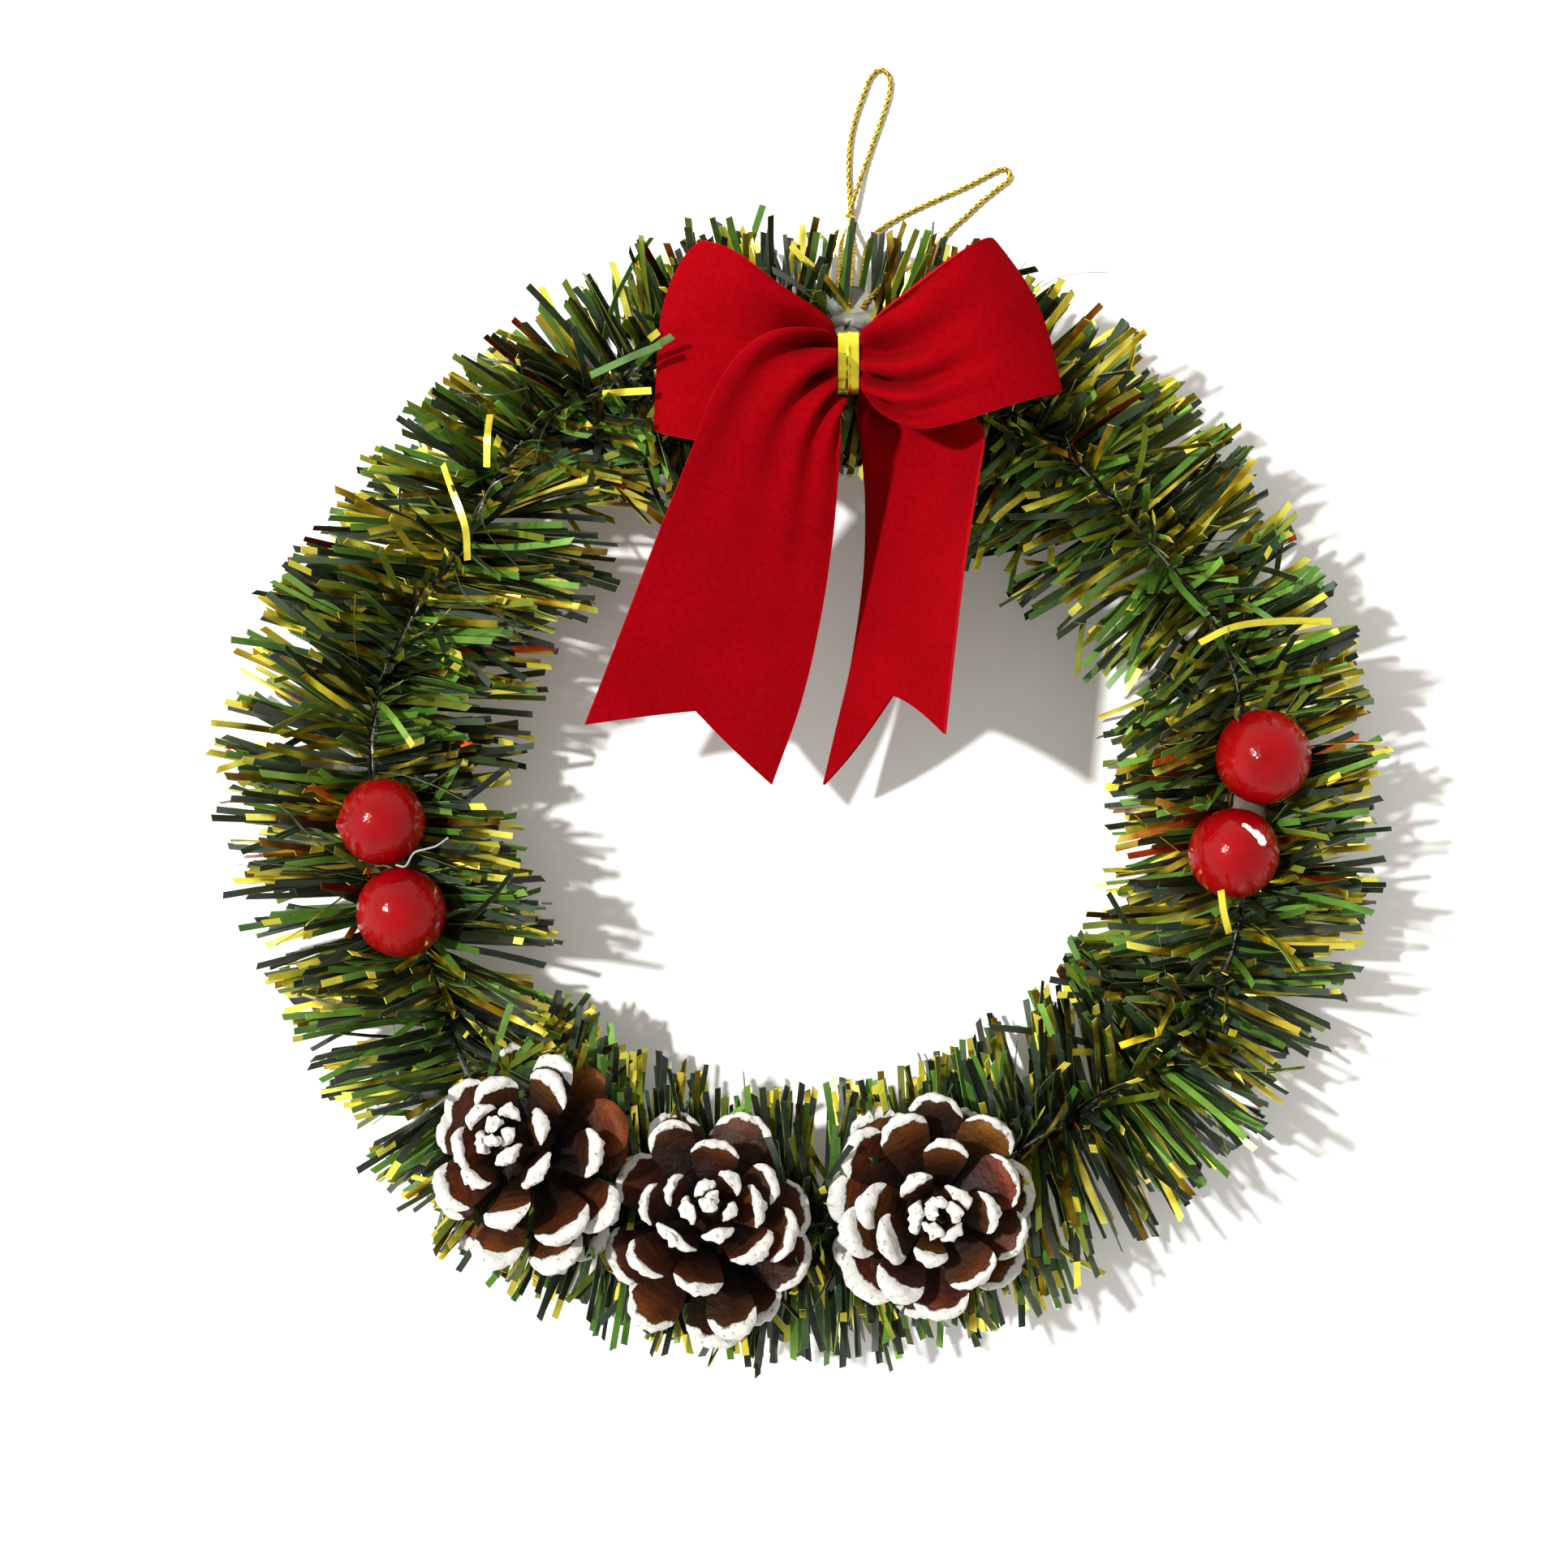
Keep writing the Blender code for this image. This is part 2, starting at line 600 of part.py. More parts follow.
def spray(name, start, end, low, high, count, material, obstacles, draw, feet):
    """Tinsel strips all round one stretch of the core, fused to their sleeve.

    The sleeve runs from start to end, and the strips stay between low and high.
    """
    body = sleeve(name, start, end, 2 if feet else 1, material)
    pieces = []
    phase = draw.random()
    for k in range(count):
        turn = (k * GOLDEN_TURN + phase + draw.uniform(-0.02, 0.02)) % 1
        outer = turn < 0.5
        rise = (2 * turn if outer else 2 * turn - 1) ** 1.2
        elevation = LOWEST_ELEVATION + (HIGHEST_ELEVATION - LOWEST_ELEVATION) * rise
        length = draw.uniform(*(OUTER_LENGTH if outer else INNER_LENGTH))
        lean = draw.uniform(-STRIP_LEAN, STRIP_LEAN)
        roll = draw.uniform(-STRIP_ROLL, STRIP_ROLL)
        place = (k + 0.5 + draw.uniform(-0.2, 0.2)) / count
        margin = math.degrees(ROOT_MARGIN / RING_RADIUS)
        angle = start + margin + (end - start - 2 * margin) * place
        if outer:
            length *= 1 - LONGER_AT_LEFT * math.cos(math.radians(angle))
        widen = (angle - start) / (end - start)
        reach = low + (high - low) * widen
        for attempt in range(LOWERINGS + CUTS):
            ends = strip_ends(angle, reach + lean, elevation, length, outer, low, high)
            if obstacles.clear(*ends):
                _, along, out = core_frame(angle)
                across = along + roll * Vector((0, 0, 1))
                pieces.append(strip(*ends, across, material))
                break
            if attempt < LOWERINGS and elevation > LOWEST_ELEVATION + LOWERED_BY:
                elevation -= LOWERED_BY
            else:
                length *= CUT_TO
    if feet:
        for place, side in FEET:
            pieces.append(foot_strip(start + (end - start) * place, side, material))
    return combine(body, pieces, "UNION", "MANIFOLD")


def strip_ends(angle, tip_angle, elevation, length, outer, low, high):
    """Root and tip of a strip, with the tip kept inside its own wedge of the ring."""
    side = 1 if outer else -1
    rise = math.radians(elevation)
    tip_radius = core_radius(tip_angle) + side * length * math.cos(rise)
    margin = math.degrees(TIP_MARGIN / tip_radius)
    tip_angle = min(max(tip_angle, low + margin), high - margin)
    tip_radius = core_radius(tip_angle) + side * length * math.cos(rise)
    tip = ring_point(tip_angle, tip_radius, CORE_HEIGHT + length * math.sin(rise))
    centre = core_frame(angle)[0]
    return centre + (tip - centre).normalized() * STRIP_ROOT, tip


def foliage(obstacles, green, gold):
    """Pairs of a green and a gold spray, in each stretch between two spots of glue."""
    draw = random.Random(SEED)
    number = 0
    for i, pairs in enumerate(PAIRS_PER_STRETCH):
        _, spot, half, _ = GLUE_SPOTS[i]
        _, next_spot, next_half, _ = GLUE_SPOTS[(i + 1) % len(GLUE_SPOTS)]
        next_spot += 360 if next_spot < spot else 0
        first = spot + half
        pitch = (next_spot - next_half - first) / pairs
        gap = math.degrees(GAP / RING_RADIUS)
        for k in range(pairs):
            number += 1
            start = first + k * pitch
            seam = start + pitch * GREEN_SHARE
            low = spot + SPOT_MARGIN if k == 0 else start
            high = next_spot - SPOT_MARGIN if k == pairs - 1 else start + pitch
            spray(
                f"green_tinsel_{number:02d}", start + gap / 2, seam - gap / 2, low, seam,
                GREEN_PER_SPRAY, green, obstacles, draw, True,
            )
            spray(
                f"gold_tinsel_{number:02d}", seam + gap / 2, start + pitch - gap / 2, seam, high,
                GOLD_PER_SPRAY, gold, obstacles, draw, False,
            )


def hull_of(points):
    """A bmesh of the convex hull of these points."""
    bm = bmesh.new()
    for point in points:
        bm.verts.new(point)
    made = bmesh.ops.convex_hull(bm, input=bm.verts)
    loose = {item for item in made["geom_interior"] + made["geom_unused"]}
    bmesh.ops.delete(bm, geom=[v for v in loose if isinstance(v, bmesh.types.BMVert)])
    return bm


def cone_scale(origin, outward, up, length, width, keep):
    """One woody scale: narrow at its root, widest near its end, ridged on both faces."""
    across = up.cross(outward)
    thick = SCALE_THICK * (0.55 + 0.45 * width / SCALE_STATIONS[0][-1])
    corners = []
    for side in (-1, 1):
        corners.append((SCALE_ROOT, side * width * SCALE_ROOT_HALF, 0.0))
        corners.append((SCALE_ROOT, 0.0, side * SCALE_ROOT_THICK / 2))
        corners.append((length * SCALE_WIDEST, side * width / 2, 0.0))
        corners.append((length, side * width * SCALE_TIP_HALF, 0.0))
        corners.append((length * SCALE_RIDGE, 0.0, side * thick / 2))
    return hull_of(
        [keep(origin + outward * x + across * y + up * z) for x, y, z in corners]
    )


def pine_cone(cone, walls, material):
    """A cone of overlapping scales in a spiral round a slim core."""
    name, _, _, size, first = cone
    axis, base = cone_axis(cone)
    side = axis.cross(Vector((0, 1, 0))).normalized()
    front = axis.cross(side)

    def keep(point):
        """Moves a point back onto its own side of the walls between cones."""
        for middle, normal in walls:
            past = (point - middle).dot(normal)
            if past > -GAP:
                point = point - normal * (past + GAP)
        return point

    bm = bmesh.new()
    rings = []
    for height, radius in CONE_CORE:
        ring = []
        for k in range(CONE_CORE_SIDES):
            turn = math.tau * k / CONE_CORE_SIDES
            spoke = math.cos(turn) * side + math.sin(turn) * front
            ring.append(bm.verts.new(base + size * (axis * height + spoke * radius)))
        rings.append(ring)
    bridge(bm, rings)
    body = mesh_object(name, bm, material)
    scales = []
    for k in range(CONE_SCALES):
        share = (k / (CONE_SCALES - 1)) ** CONE_CROWDING
        height, length, rise, width = stations(SCALE_STATIONS, share)
        turn = math.tau * (k * GOLDEN_TURN + first)
        rise = math.radians(rise)
        spoke = math.cos(turn) * side + math.sin(turn) * front
        outward = math.cos(rise) * spoke + math.sin(rise) * axis
        up = math.cos(rise) * axis - math.sin(rise) * spoke
        origin = base + axis * height * size
        length *= size * (1 + CONE_LONGER * spoke.y**2)
        bm = cone_scale(origin, outward, up, length, width * size, keep)
        scales.append(mesh_object("scale", bm, material))
    return combine(body, scales, "UNION")


def pine_cones(material):
    """The three cones, with a flat gap between neighbours that would touch."""
    for i, cone in enumerate(CONES):
        walls = []
        for j in (i - 1, i + 1):
            if 0 <= j < len(CONES):
                away = Vector(CONES[j][1]) - Vector(cone[1])
                middle = Vector(cone[1]) + away / 2
                walls.append((middle, away.normalized()))
        pine_cone(cone, walls, material)


def ribbon_grid(first_edge, second_edge, along, across, notch):
    """Points on the ribbon between its two edges, in rows from the pinch outwards."""
    grid = []
    for i in range(along + 1):
        row = []
        for j in range(across + 1):
            v = j / across
            share = i / along * (1 - notch * (1 - abs(2 * v - 1)))
            row.append(smooth_point(first_edge, share).lerp(smooth_point(second_edge, share), v))
        grid.append(row)
    return grid


def grid_normal(grid, i, j):
    """The ribbon's normal at one point of its grid."""
    last_row, last = len(grid) - 1, len(grid[0]) - 1
    down = grid[min(i + 1, last_row)][j] - grid[max(i - 1, 0)][j]
    right = grid[i][min(j + 1, last)] - grid[i][max(j - 1, 0)]
    return down.cross(right).normalized()


def ribbon(stretch, material):
    """One stretch of ribbon of even thickness, gathered in pleats at the pinch."""
    name, first_edge, second_edge, along, across, pleat, both_ends, notch = stretch
    grid = ribbon_grid(first_edge, second_edge, along, across, notch)
    pleated = []
    for i, row in enumerate(grid):
        from_pinch = min(i, along - i if both_ends else along) / along
        depth = pleat * math.exp(-((from_pinch / PLEAT_REACH) ** 2))
        pleated.append([
            point + grid_normal(grid, i, j) * depth * math.sin(math.tau * PLEATS * j / across)
            for j, point in enumerate(row)
        ])
    bm = bmesh.new()
    half = RIBBON_THICK / 2
    rings = []
    for i, row in enumerate(pleated):
        normals = [grid_normal(pleated, i, j) for j in range(across + 1)]
        upper = [bm.verts.new(p + n * half) for p, n in zip(row, normals)]
        lower = [bm.verts.new(p - n * half) for p, n in zip(row, normals)]
        rings.append(upper + lower[::-1])
    bridge(bm, rings, close_ends=False)
    for ring in (rings[0], rings[-1]):
        for j in range(across):
            bm.faces.new((ring[j], ring[j + 1], ring[-j - 2], ring[-j - 1]))
    bmesh.ops.triangulate(bm, faces=bm.faces)
    return mesh_object(name, bm, material)


def bow(velvet):
    """The bow: two loops and two tails of one ribbon, gathered into a knot."""
    body = ellipsoid("bow_ribbon", PINCH, KNOT_RADII, 12, 8, velvet)
    stretches = [ribbon(stretch, velvet) for stretch in RIBBON_STRETCHES]
    combine(body, stretches, "UNION")
    return combine(body, [tie_band("tie_room", GAP, velvet)], "DIFFERENCE")


def tie_band(name, grow, material):
    """The flat tie round the bow's knot, made larger all round by this much."""
    inner = (KNOT_RADII[1] + GAP - grow / 5, KNOT_RADII[2] + GAP - grow / 5)
    outer = (inner[0] + TIE_THICK + grow, inner[1] + TIE_THICK + grow)
    half = TIE_WIDTH / 2 + grow
    bm = bmesh.new()
    rings = []
    for radii, shift in ((outer, -half), (outer, half), (inner, half), (inner, -half)):
        ring = []
        for k in range(TIE_SIDES):
            turn = math.tau * (k + 0.5) / TIE_SIDES
            place = (shift, radii[0] * math.cos(turn), radii[1] * math.sin(turn))
            ring.append(bm.verts.new(Vector(PINCH) + Vector(place)))
        rings.append(ring)
    bridge(bm, rings + rings[:1], close_ends=False)
    return mesh_object(name, bm, material)


def cord_points(route):
    """Points along the smooth curve through a cord's route, about CORD_STEP apart."""
    dense = [smooth_point(route, i / 400) for i in range(401)]
    lengths = [0.0]
    for p, q in zip(dense, dense[1:]):
        lengths.append(lengths[-1] + (q - p).length)
    count = round(lengths[-1] / CORD_STEP)
    points = []
    k = 0
    for i in range(count + 1):
        wanted = lengths[-1] * i / count
        while k < len(dense) - 2 and lengths[k + 1] < wanted:
            k += 1
        t = (wanted - lengths[k]) / (lengths[k + 1] - lengths[k])
        points.append(dense[k].lerp(dense[k + 1], t))
    return points


def glue_spot(spot, glue, cords):
    """Hot glue round the core, up to what it holds, with the ends of cords in it."""
    name, angle, half, _ = spot
    blobs = glue_blobs(name)
    bodies = [ellipsoid(name, *blob[:2], 10, 7, glue, blob[2]) for blob in blobs]
    if len(bodies) > 1:
        combine(bodies[0], bodies[1:], "UNION")
    core = [core_frame(angle + half * 3 * (i / 6 - 1))[0] for i in range(13)]
    cutters = [tube_cutter(core[::2], SLEEVE_BORE, 1, glue)]
    middle = blobs[0][0]
    for _, berry, radius in BERRIES:
        if (Vector(berry) - middle).length < HELD_WITHIN:
            cutters.append(ellipsoid("berry_cut", berry, [radius + GAP] * 3, 16, 10, glue))
    for cone in CONES:
        axis, base = cone_axis(cone)
        if (base - middle).length < HELD_WITHIN:
            cutters.append(cone_seat(base, axis, glue))
    for points in cords:
        for lead in (points[:6], points[:-7:-1]):
            past_end = lead[0] + (lead[0] - lead[1]).normalized() * GAP
            cutters.append(tube_cutter([past_end] + lead, CORD_RADIUS + GAP, 1, glue))
    if cords:
        cutters.append(tie_room(glue))
    combine(bodies[0], cutters, "DIFFERENCE")


def tie_room(glue):
    """A block from just behind the bow's tie upwards, which cuts the glue flat."""
    tie_back = PINCH[2] - KNOT_RADII[2] - TIE_THICK - 2 * GAP
    bm = bmesh.new()
    size = 4 * KNOT_RADII[1]
    bmesh.ops.create_cube(bm, size=size)
    bmesh.ops.translate(bm, verts=bm.verts, vec=(PINCH[0], PINCH[1], tie_back + size / 2))
    return mesh_object("tie_room", bm, glue)


def cone_seat(base, axis, glue):
    """A slab from just under a cone's base upwards, which cuts the glue flat."""
    side = axis.cross(Vector((0, 1, 0))).normalized()
    front = axis.cross(side)
    bm = bmesh.new()
    rings = []
    for height in (-GAP, CONE_WIDEST_HEIGHT):
        corners = ((-1, -1), (1, -1), (1, 1), (-1, 1))
        rings.append([
            bm.verts.new(base + axis * height + (side * x + front * y) * CONE_FOOT_RADIUS)
            for x, y in corners
        ])
    bridge(bm, rings)
    return mesh_object("seat_cut", bm, glue)


def build():
    """Clears the scene and makes the wreath."""
    for obj in list(bpy.data.objects):
        bpy.data.objects.remove(obj)
    steel = make_material("core_steel", (0.32, 0.33, 0.32), 0.45, 1.0)
    green = make_material("green_film", (0.045, 0.11, 0.03), 0.4)
    gold = make_material("gold_foil", (0.75, 0.62, 0.12), 0.25, 1.0)
    wood = make_material("cone_wood", (0.16, 0.06, 0.025), 0.7)
    red = make_material("berry_red", (0.55, 0.01, 0.02), 0.15)
    velvet = make_material("red_velvet", (0.48, 0.004, 0.012), 0.9)
    tie = make_material("tie_gold", (0.72, 0.56, 0.05), 0.2, 1.0)
    cord = make_material("cord_gold", (0.68, 0.5, 0.1), 0.35, 1.0)
    glue = make_material("hot_glue", (0.75, 0.75, 0.7), 0.3)

    core_wire("core_wire_a", 0.0, steel)
    core_wire("core_wire_b", 0.5, steel)
    cords = [cord_points(STRAIGHT_LOOP), cord_points(SLANTED_LOOP)]
    tube("hanging_loop_straight", cords[0], CORD_RADIUS, 2, cord)
    tube("hanging_loop_slanted", cords[1], CORD_RADIUS, 2, cord)
    for name, centre, radius in BERRIES:
        ellipsoid(name, centre, [radius] * 3, 13, 8, red)
    pine_cones(wood)
    bow(velvet)
    tie_band("bow_twist_tie", 0.0, tie)
    for spot in GLUE_SPOTS:
        glue_spot(spot, glue, cords if spot[0] == "glue_behind_bow" else [])

    keep_off = [point for points in cords for point in points]
    keep_off += [p.lerp(q, 0.5) for points in cords for p, q in zip(points, points[1:])]
    for _, first_edge, second_edge, along, across, _, _, notch in RIBBON_STRETCHES:
        for row in ribbon_grid(first_edge, second_edge, along * 4, across * 3, notch):
            keep_off += row
    foliage(Obstacles(keep_off), green, gold)


build()
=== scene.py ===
"""The looks of a small artificial door wreath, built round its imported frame.

Everything is worked out in millimetres and written in metres. X is to the right, Y
towards the bow and Z up out of the wreath's face, with the table at Z = 0.
"""

import bisect
import math
import random

import bmesh
import bpy
from mathutils import Matrix, Vector, noise
from mathutils.bvhtree import BVHTree


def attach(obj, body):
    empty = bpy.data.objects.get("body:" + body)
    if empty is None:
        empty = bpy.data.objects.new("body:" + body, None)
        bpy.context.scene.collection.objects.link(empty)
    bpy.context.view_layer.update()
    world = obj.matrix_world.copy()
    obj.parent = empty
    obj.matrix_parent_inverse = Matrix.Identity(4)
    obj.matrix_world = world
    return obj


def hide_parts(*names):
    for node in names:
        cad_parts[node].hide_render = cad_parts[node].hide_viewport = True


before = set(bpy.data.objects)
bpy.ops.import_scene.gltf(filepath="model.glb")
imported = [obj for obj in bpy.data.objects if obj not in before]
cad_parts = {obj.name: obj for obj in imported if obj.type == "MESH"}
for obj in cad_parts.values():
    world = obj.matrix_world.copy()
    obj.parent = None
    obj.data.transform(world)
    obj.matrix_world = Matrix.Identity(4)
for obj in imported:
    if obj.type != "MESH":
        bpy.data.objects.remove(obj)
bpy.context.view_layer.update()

MM = 0.001
UP = Vector((0, 0, 1))
GOLDEN_TURN = 0.381966
SEED = 7

# Camera: straight above, at the photograph's distance and framing
CAMERA_PLACE = (-2.9, 0.16, 600.0)
CAMERA_LENS = 70.1

# Key light: the way it travels, its strength and its width in degrees
KEY_DIRECTION = (0.958, -0.287, -1.54)
KEY_STRENGTH = 4.4
KEY_ANGLE = 3.0
KEY_COLOUR = (1.0, 0.985, 0.96)
# Soft surroundings: dim straight above, bright low down, and a little brighter on the left
FILL_WAY = (-0.22, 0.06, -0.9)
FILL_ABOVE = 0.55
FILL_LOW = 1.75
FILL_COLOUR = (1.0, 0.975, 0.93, 1.0)
TABLE_RADIUS = 1600.0

# The ring of the core
RING_X = 2.0
RING_Y = 2.6
RING_RADIUS = 83.0
CORE_HEIGHT = 17.0
CORE_BENDS = (
    (0, 83.2), (16, 83.0), (34, 78.2), (57, 78.3), (85, 82.5), (110, 83.0), (134, 82.8),
    (147, 79.0), (160, 81.7), (176, 83.8), (208, 81.0), (225, 88.0), (248, 87.5),
    (270, 86.8), (301, 82.5), (318, 85.5), (333, 88.0),
)

# Lumps of glue: how far each is out of the core and up from it, and its radii
BERRY_GLUE = ((-1.2, 1.0, (7.1, 5.2, 6.0)),)
CONE_GLUE = ((1.2, 1.0, (5.4, 5.6, 6.4)),)
BOW_GLUE = ((-4.6, 8.6, (4.6, 6.2, 7.9)), (3.6, 4.2, (5.0, 6.6, 8.0)))
# Spots of glue on the core, as in the solids: name, angle, half the stretch that each
# covers, and its lumps
GLUE_SPOTS = (
    ("glue_right_berries", -4.7, 5.2, BERRY_GLUE),
    ("glue_behind_bow", 85.0, 4.1, BOW_GLUE),
    ("glue_left_berries", 193.0, 5.2, BERRY_GLUE),
    ("glue_left_cone", 236.0, 4.0, CONE_GLUE),
    ("glue_middle_cone", 257.9, 4.0, CONE_GLUE),
    ("glue_right_cone", 285.2, 4.0, CONE_GLUE),
)
# The pairs of sprays in each stretch between two spots
PAIRS_PER_STRETCH = (4, 5, 2, 1, 1, 3)

# Tinsel strips
STRIP_COUNT = 4950
STRIP_WIDTH = 1.3
STRIP_THIN = 0.12
STRIP_STEPS = 5
OUTER_LENGTH = (18.5, 33.0)
INNER_LENGTH = (17.5, 31.0)
LONGER_AT_LEFT = 0.05
# Shares of the strips that stand outside the core, that lie loosely, and that stand up
OUTER_SHARE = 0.53
LOOSE_SHARE = 0.12
UPRIGHT_SHARE = 0.13
# Strips stand in tufts, in layers over each other: lowest and highest elevation of a layer,
# and how wide its tufts are in millimetres at their tips
LOWEST_RISE = -34.0
LAYERS = ((LOWEST_RISE, 8.0, 5.5), (8.0, 58.0, 7.0))
TUFT_GATHER = 0.30
TUFT_REACH = 25
# A strip that meets something is laid this many degrees lower, and is cut short where it
# is lowest. It is left out if it comes out shorter than this, or after so many tries
STEP_DOWN = 11
SHORTEST_STRIP = 8
LAYING_TRIES = 7
# Room that strips keep from what they meet, ahead of them and beside them
ROOM_AHEAD = 0.6
ROOM_BESIDE = 1.0
# How far apart in the noise of the film the strips' own seeds lie
SEED_SPREAD = 40.0
# Where the cords come out behind the bow, in X and Y, and the share of the strips missing there
CORD_WINDOW = ((5.0, 13.0), (88.0, 112.0))
CORD_WINDOW_SHARE = 0.75
# How strips are combed: angle on the ring, and by how many degrees the strips there lean
# from the way out of the ring, outside it and inside it
LEANS = (
    (0, 14, 10), (20, 2, 12), (40, -5, -22), (60, -13, 3), (85, 3, 0), (110, 2, -5),
    (125, 18, 20), (140, 10, 36), (155, 20, 24), (170, -18, 14), (185, -22, -8),
    (200, -10, -30), (215, -10, -38), (230, -10, 20), (250, 12, 16), (270, 0, 0),
    (285, -12, -12), (305, -14, -20), (320, 8, -8), (335, 12, 22), (350, 15, 16),
)
# Angle about the wreath's middle, and how far from it the strips' ends come there, outside
# and inside the ring
REACHES = (
    (5, 110, 58), (35, 105, 52), (55, 106, 52), (72, 107, 59), (100, 106, 59), (125, 102, 51),
    (145, 101, 51), (165, 108, 51), (180, 111, 51), (210, 107, 54), (235, 112, 57),
    (250, 109, 56), (290, 112, 57), (320, 109, 59), (345, 112, 60),
)
# How unevenly the strips end short of that, in millimetres, and the least share of a strip
# that is kept
REACH_SPREAD = 5.0
LEAST_KEPT = 0.45


def smooth_point(points, share):
    """The point this share of the way along a smooth curve through these points."""
    place = min(max(share, 0.0), 1.0) * (len(points) - 1)
    i = min(int(place), len(points) - 2)
    t = place - i
    p1 = Vector(points[i])
    p2 = Vector(points[i + 1])
    p0 = Vector(points[i - 1]) if i > 0 else 2 * p1 - p2
    p3 = Vector(points[i + 2]) if i + 2 < len(points) else 2 * p2 - p1
    return 0.5 * (
        2 * p1
        + (p2 - p0) * t
        + (2 * p0 - 5 * p1 + 4 * p2 - p3) * t**2
        + (3 * p1 - p0 - 3 * p2 + p3) * t**3
    )


def around(table, angle):
    """Values of a table of (angle, values...) at this angle, smoothly round the circle."""
    angle %= 360
    before = [(row[0] - 360, *row[1:]) for row in table[-2:]]
    after = [(row[0] + 360, *row[1:]) for row in table[:2]]
    rows = before + list(table) + after
    i = max(k for k in range(1, len(rows) - 2) if rows[k][0] <= angle)
    (a0, *first), (a1, *second), (a2, *third), (a3, *fourth) = rows[i - 1:i + 3]
    step = a2 - a1
    t = (angle - a1) / step
    found = []
    for r0, r1, r2, r3 in zip(first, second, third, fourth):
        slope1 = (r2 - r0) / (a2 - a0) * step
        slope2 = (r3 - r1) / (a3 - a1) * step
        found.append(
            (2 * t**3 - 3 * t**2 + 1) * r1
            + (t**3 - 2 * t**2 + t) * slope1
            + (3 * t**2 - 2 * t**3) * r2
            + (t**3 - t**2) * slope2
        )
    return found


def core_radius_at(angle):
    """How far the core is from the ring's middle at this angle."""
    return around(CORE_BENDS, angle)[0]


def core_point(angle):
    """The core's point at this angle about the ring's middle."""
    radius = core_radius_at(angle)
    turn = math.radians(angle)
    return Vector((RING_X + radius * math.cos(turn), RING_Y + radius * math.sin(turn), CORE_HEIGHT))


def core_frame(angle):
    """The core's point at this angle, its direction there, and the way out of the ring."""
    along = (core_point(angle + 0.5) - core_point(angle - 0.5)).normalized()
    return core_point(angle), along, along.cross(UP)


# Pieces

WHITE = (1.0, 1.0, 1.0)


class Shape:
    """Vertices, faces and painted values of one piece, in millimetres."""

    def __init__(self):
        self.verts = []
        self.faces = []
        self.tints = []
        self.values = []

    def skin(self, points, faces, values=None, tints=None):
        """Adds a surface, with a value for each point and a tint for each face."""
        first = len(self.verts)
        self.verts += points
        self.faces += [[first + k for k in face] for face in faces]
        self.values += values or [0.0] * len(points)
        self.tints += tints or [WHITE] * len(faces)

    def loft(self, rings, tints=None, values=None):
        """Adds closed rings of points, joined in order, with a face on each end and a
        tint for each ring."""
        size = len(rings[0])
        last = (len(rings) - 1) * size
        faces = []
        for start in range(0, last, size):
            for k in range(size):
                a = start + k
                b = start + (k + 1) % size
                faces.append((a, b, b + size, a + size))
        faces += [range(size - 1, -1, -1), range(last, last + size)]
        if tints:
            sides = [tint for tint in tints[:len(rings) - 1] for _ in range(size)]
            tints = sides + [tints[0], tints[-1]]
        self.skin([point for ring in rings for point in ring], faces, values, tints)

    def sheet(self, grid, thick, values):
        """Adds a closed sheet of this thickness, whose middle follows a grid of points."""
        rows, columns = len(grid), len(grid[0])
        points = [
            point + grid_normal(grid, i, j) * side * thick / 2
            for side in (1, -1)
            for i, row in enumerate(grid)
            for j, point in enumerate(row)
        ]

        def at(i, j, layer=0):
            return (layer * rows + i) * columns + j

        faces = []
        for i in range(rows - 1):
            for j in range(columns - 1):
                faces.append((at(i, j), at(i + 1, j), at(i + 1, j + 1), at(i, j + 1)))
                faces.append((at(i, j, 1), at(i, j + 1, 1), at(i + 1, j + 1, 1), at(i + 1, j, 1)))
        last = columns - 1
        for i in range(rows - 1):
            faces.append((at(i, 0), at(i, 0, 1), at(i + 1, 0, 1), at(i + 1, 0)))
            faces.append((at(i, last), at(i + 1, last), at(i + 1, last, 1), at(i, last, 1)))
        last = rows - 1
        for j in range(columns - 1):
            faces.append((at(0, j), at(0, j + 1), at(0, j + 1, 1), at(0, j, 1)))
            faces.append((at(last, j), at(last, j, 1), at(last, j + 1, 1), at(last, j + 1)))
        self.skin(points, faces, 2 * [value for row in values for value in row])

    def piece(self, name, material, slot, replaced=(), sharp=40):
        """Makes the piece, which rides on the wreath's one body."""
        mesh = bpy.data.meshes.new(name)
        mesh.from_pydata([Vector(v) * MM for v in self.verts], [], self.faces)
        tint = mesh.color_attributes.new("tint", "FLOAT_COLOR", "CORNER")
        colours = []
        for face, colour in zip(self.faces, self.tints):
            colours += [*colour, 1.0] * len(face)
        tint.data.foreach_set("color", colours)
        value = mesh.attributes.new("value", "FLOAT", "POINT")
        value.data.foreach_set("value", self.values)
        mesh.materials.append(material)
        return finish_piece(name, mesh, replaced, sharp)


def circle(centre, side, up, radius, count):
    """Points round a circle."""
    turns = [math.tau * k / count for k in range(count)]
    return [centre + radius * (math.cos(t) * side + math.sin(t) * up) for t in turns]


def ball(subdivisions):
    """The ways from the middle of a ball to its vertices, and its faces."""
    bm = bmesh.new()
    bmesh.ops.create_icosphere(bm, subdivisions=subdivisions, radius=1.0)
    ways = [vert.co.normalized() for vert in bm.verts]
    faces = [[vert.index for vert in face.verts] for face in bm.faces]
    bm.free()
    return ways, faces


def grid_normal(grid, i, j):
    """The sheet's normal at one point of its grid."""
    last_row, last = len(grid) - 1, len(grid[0]) - 1
    down = grid[min(i + 1, last_row)][j] - grid[max(i - 1, 0)][j]
    right = grid[i][min(j + 1, last)] - grid[i][max(j - 1, 0)]
    return down.cross(right).normalized()


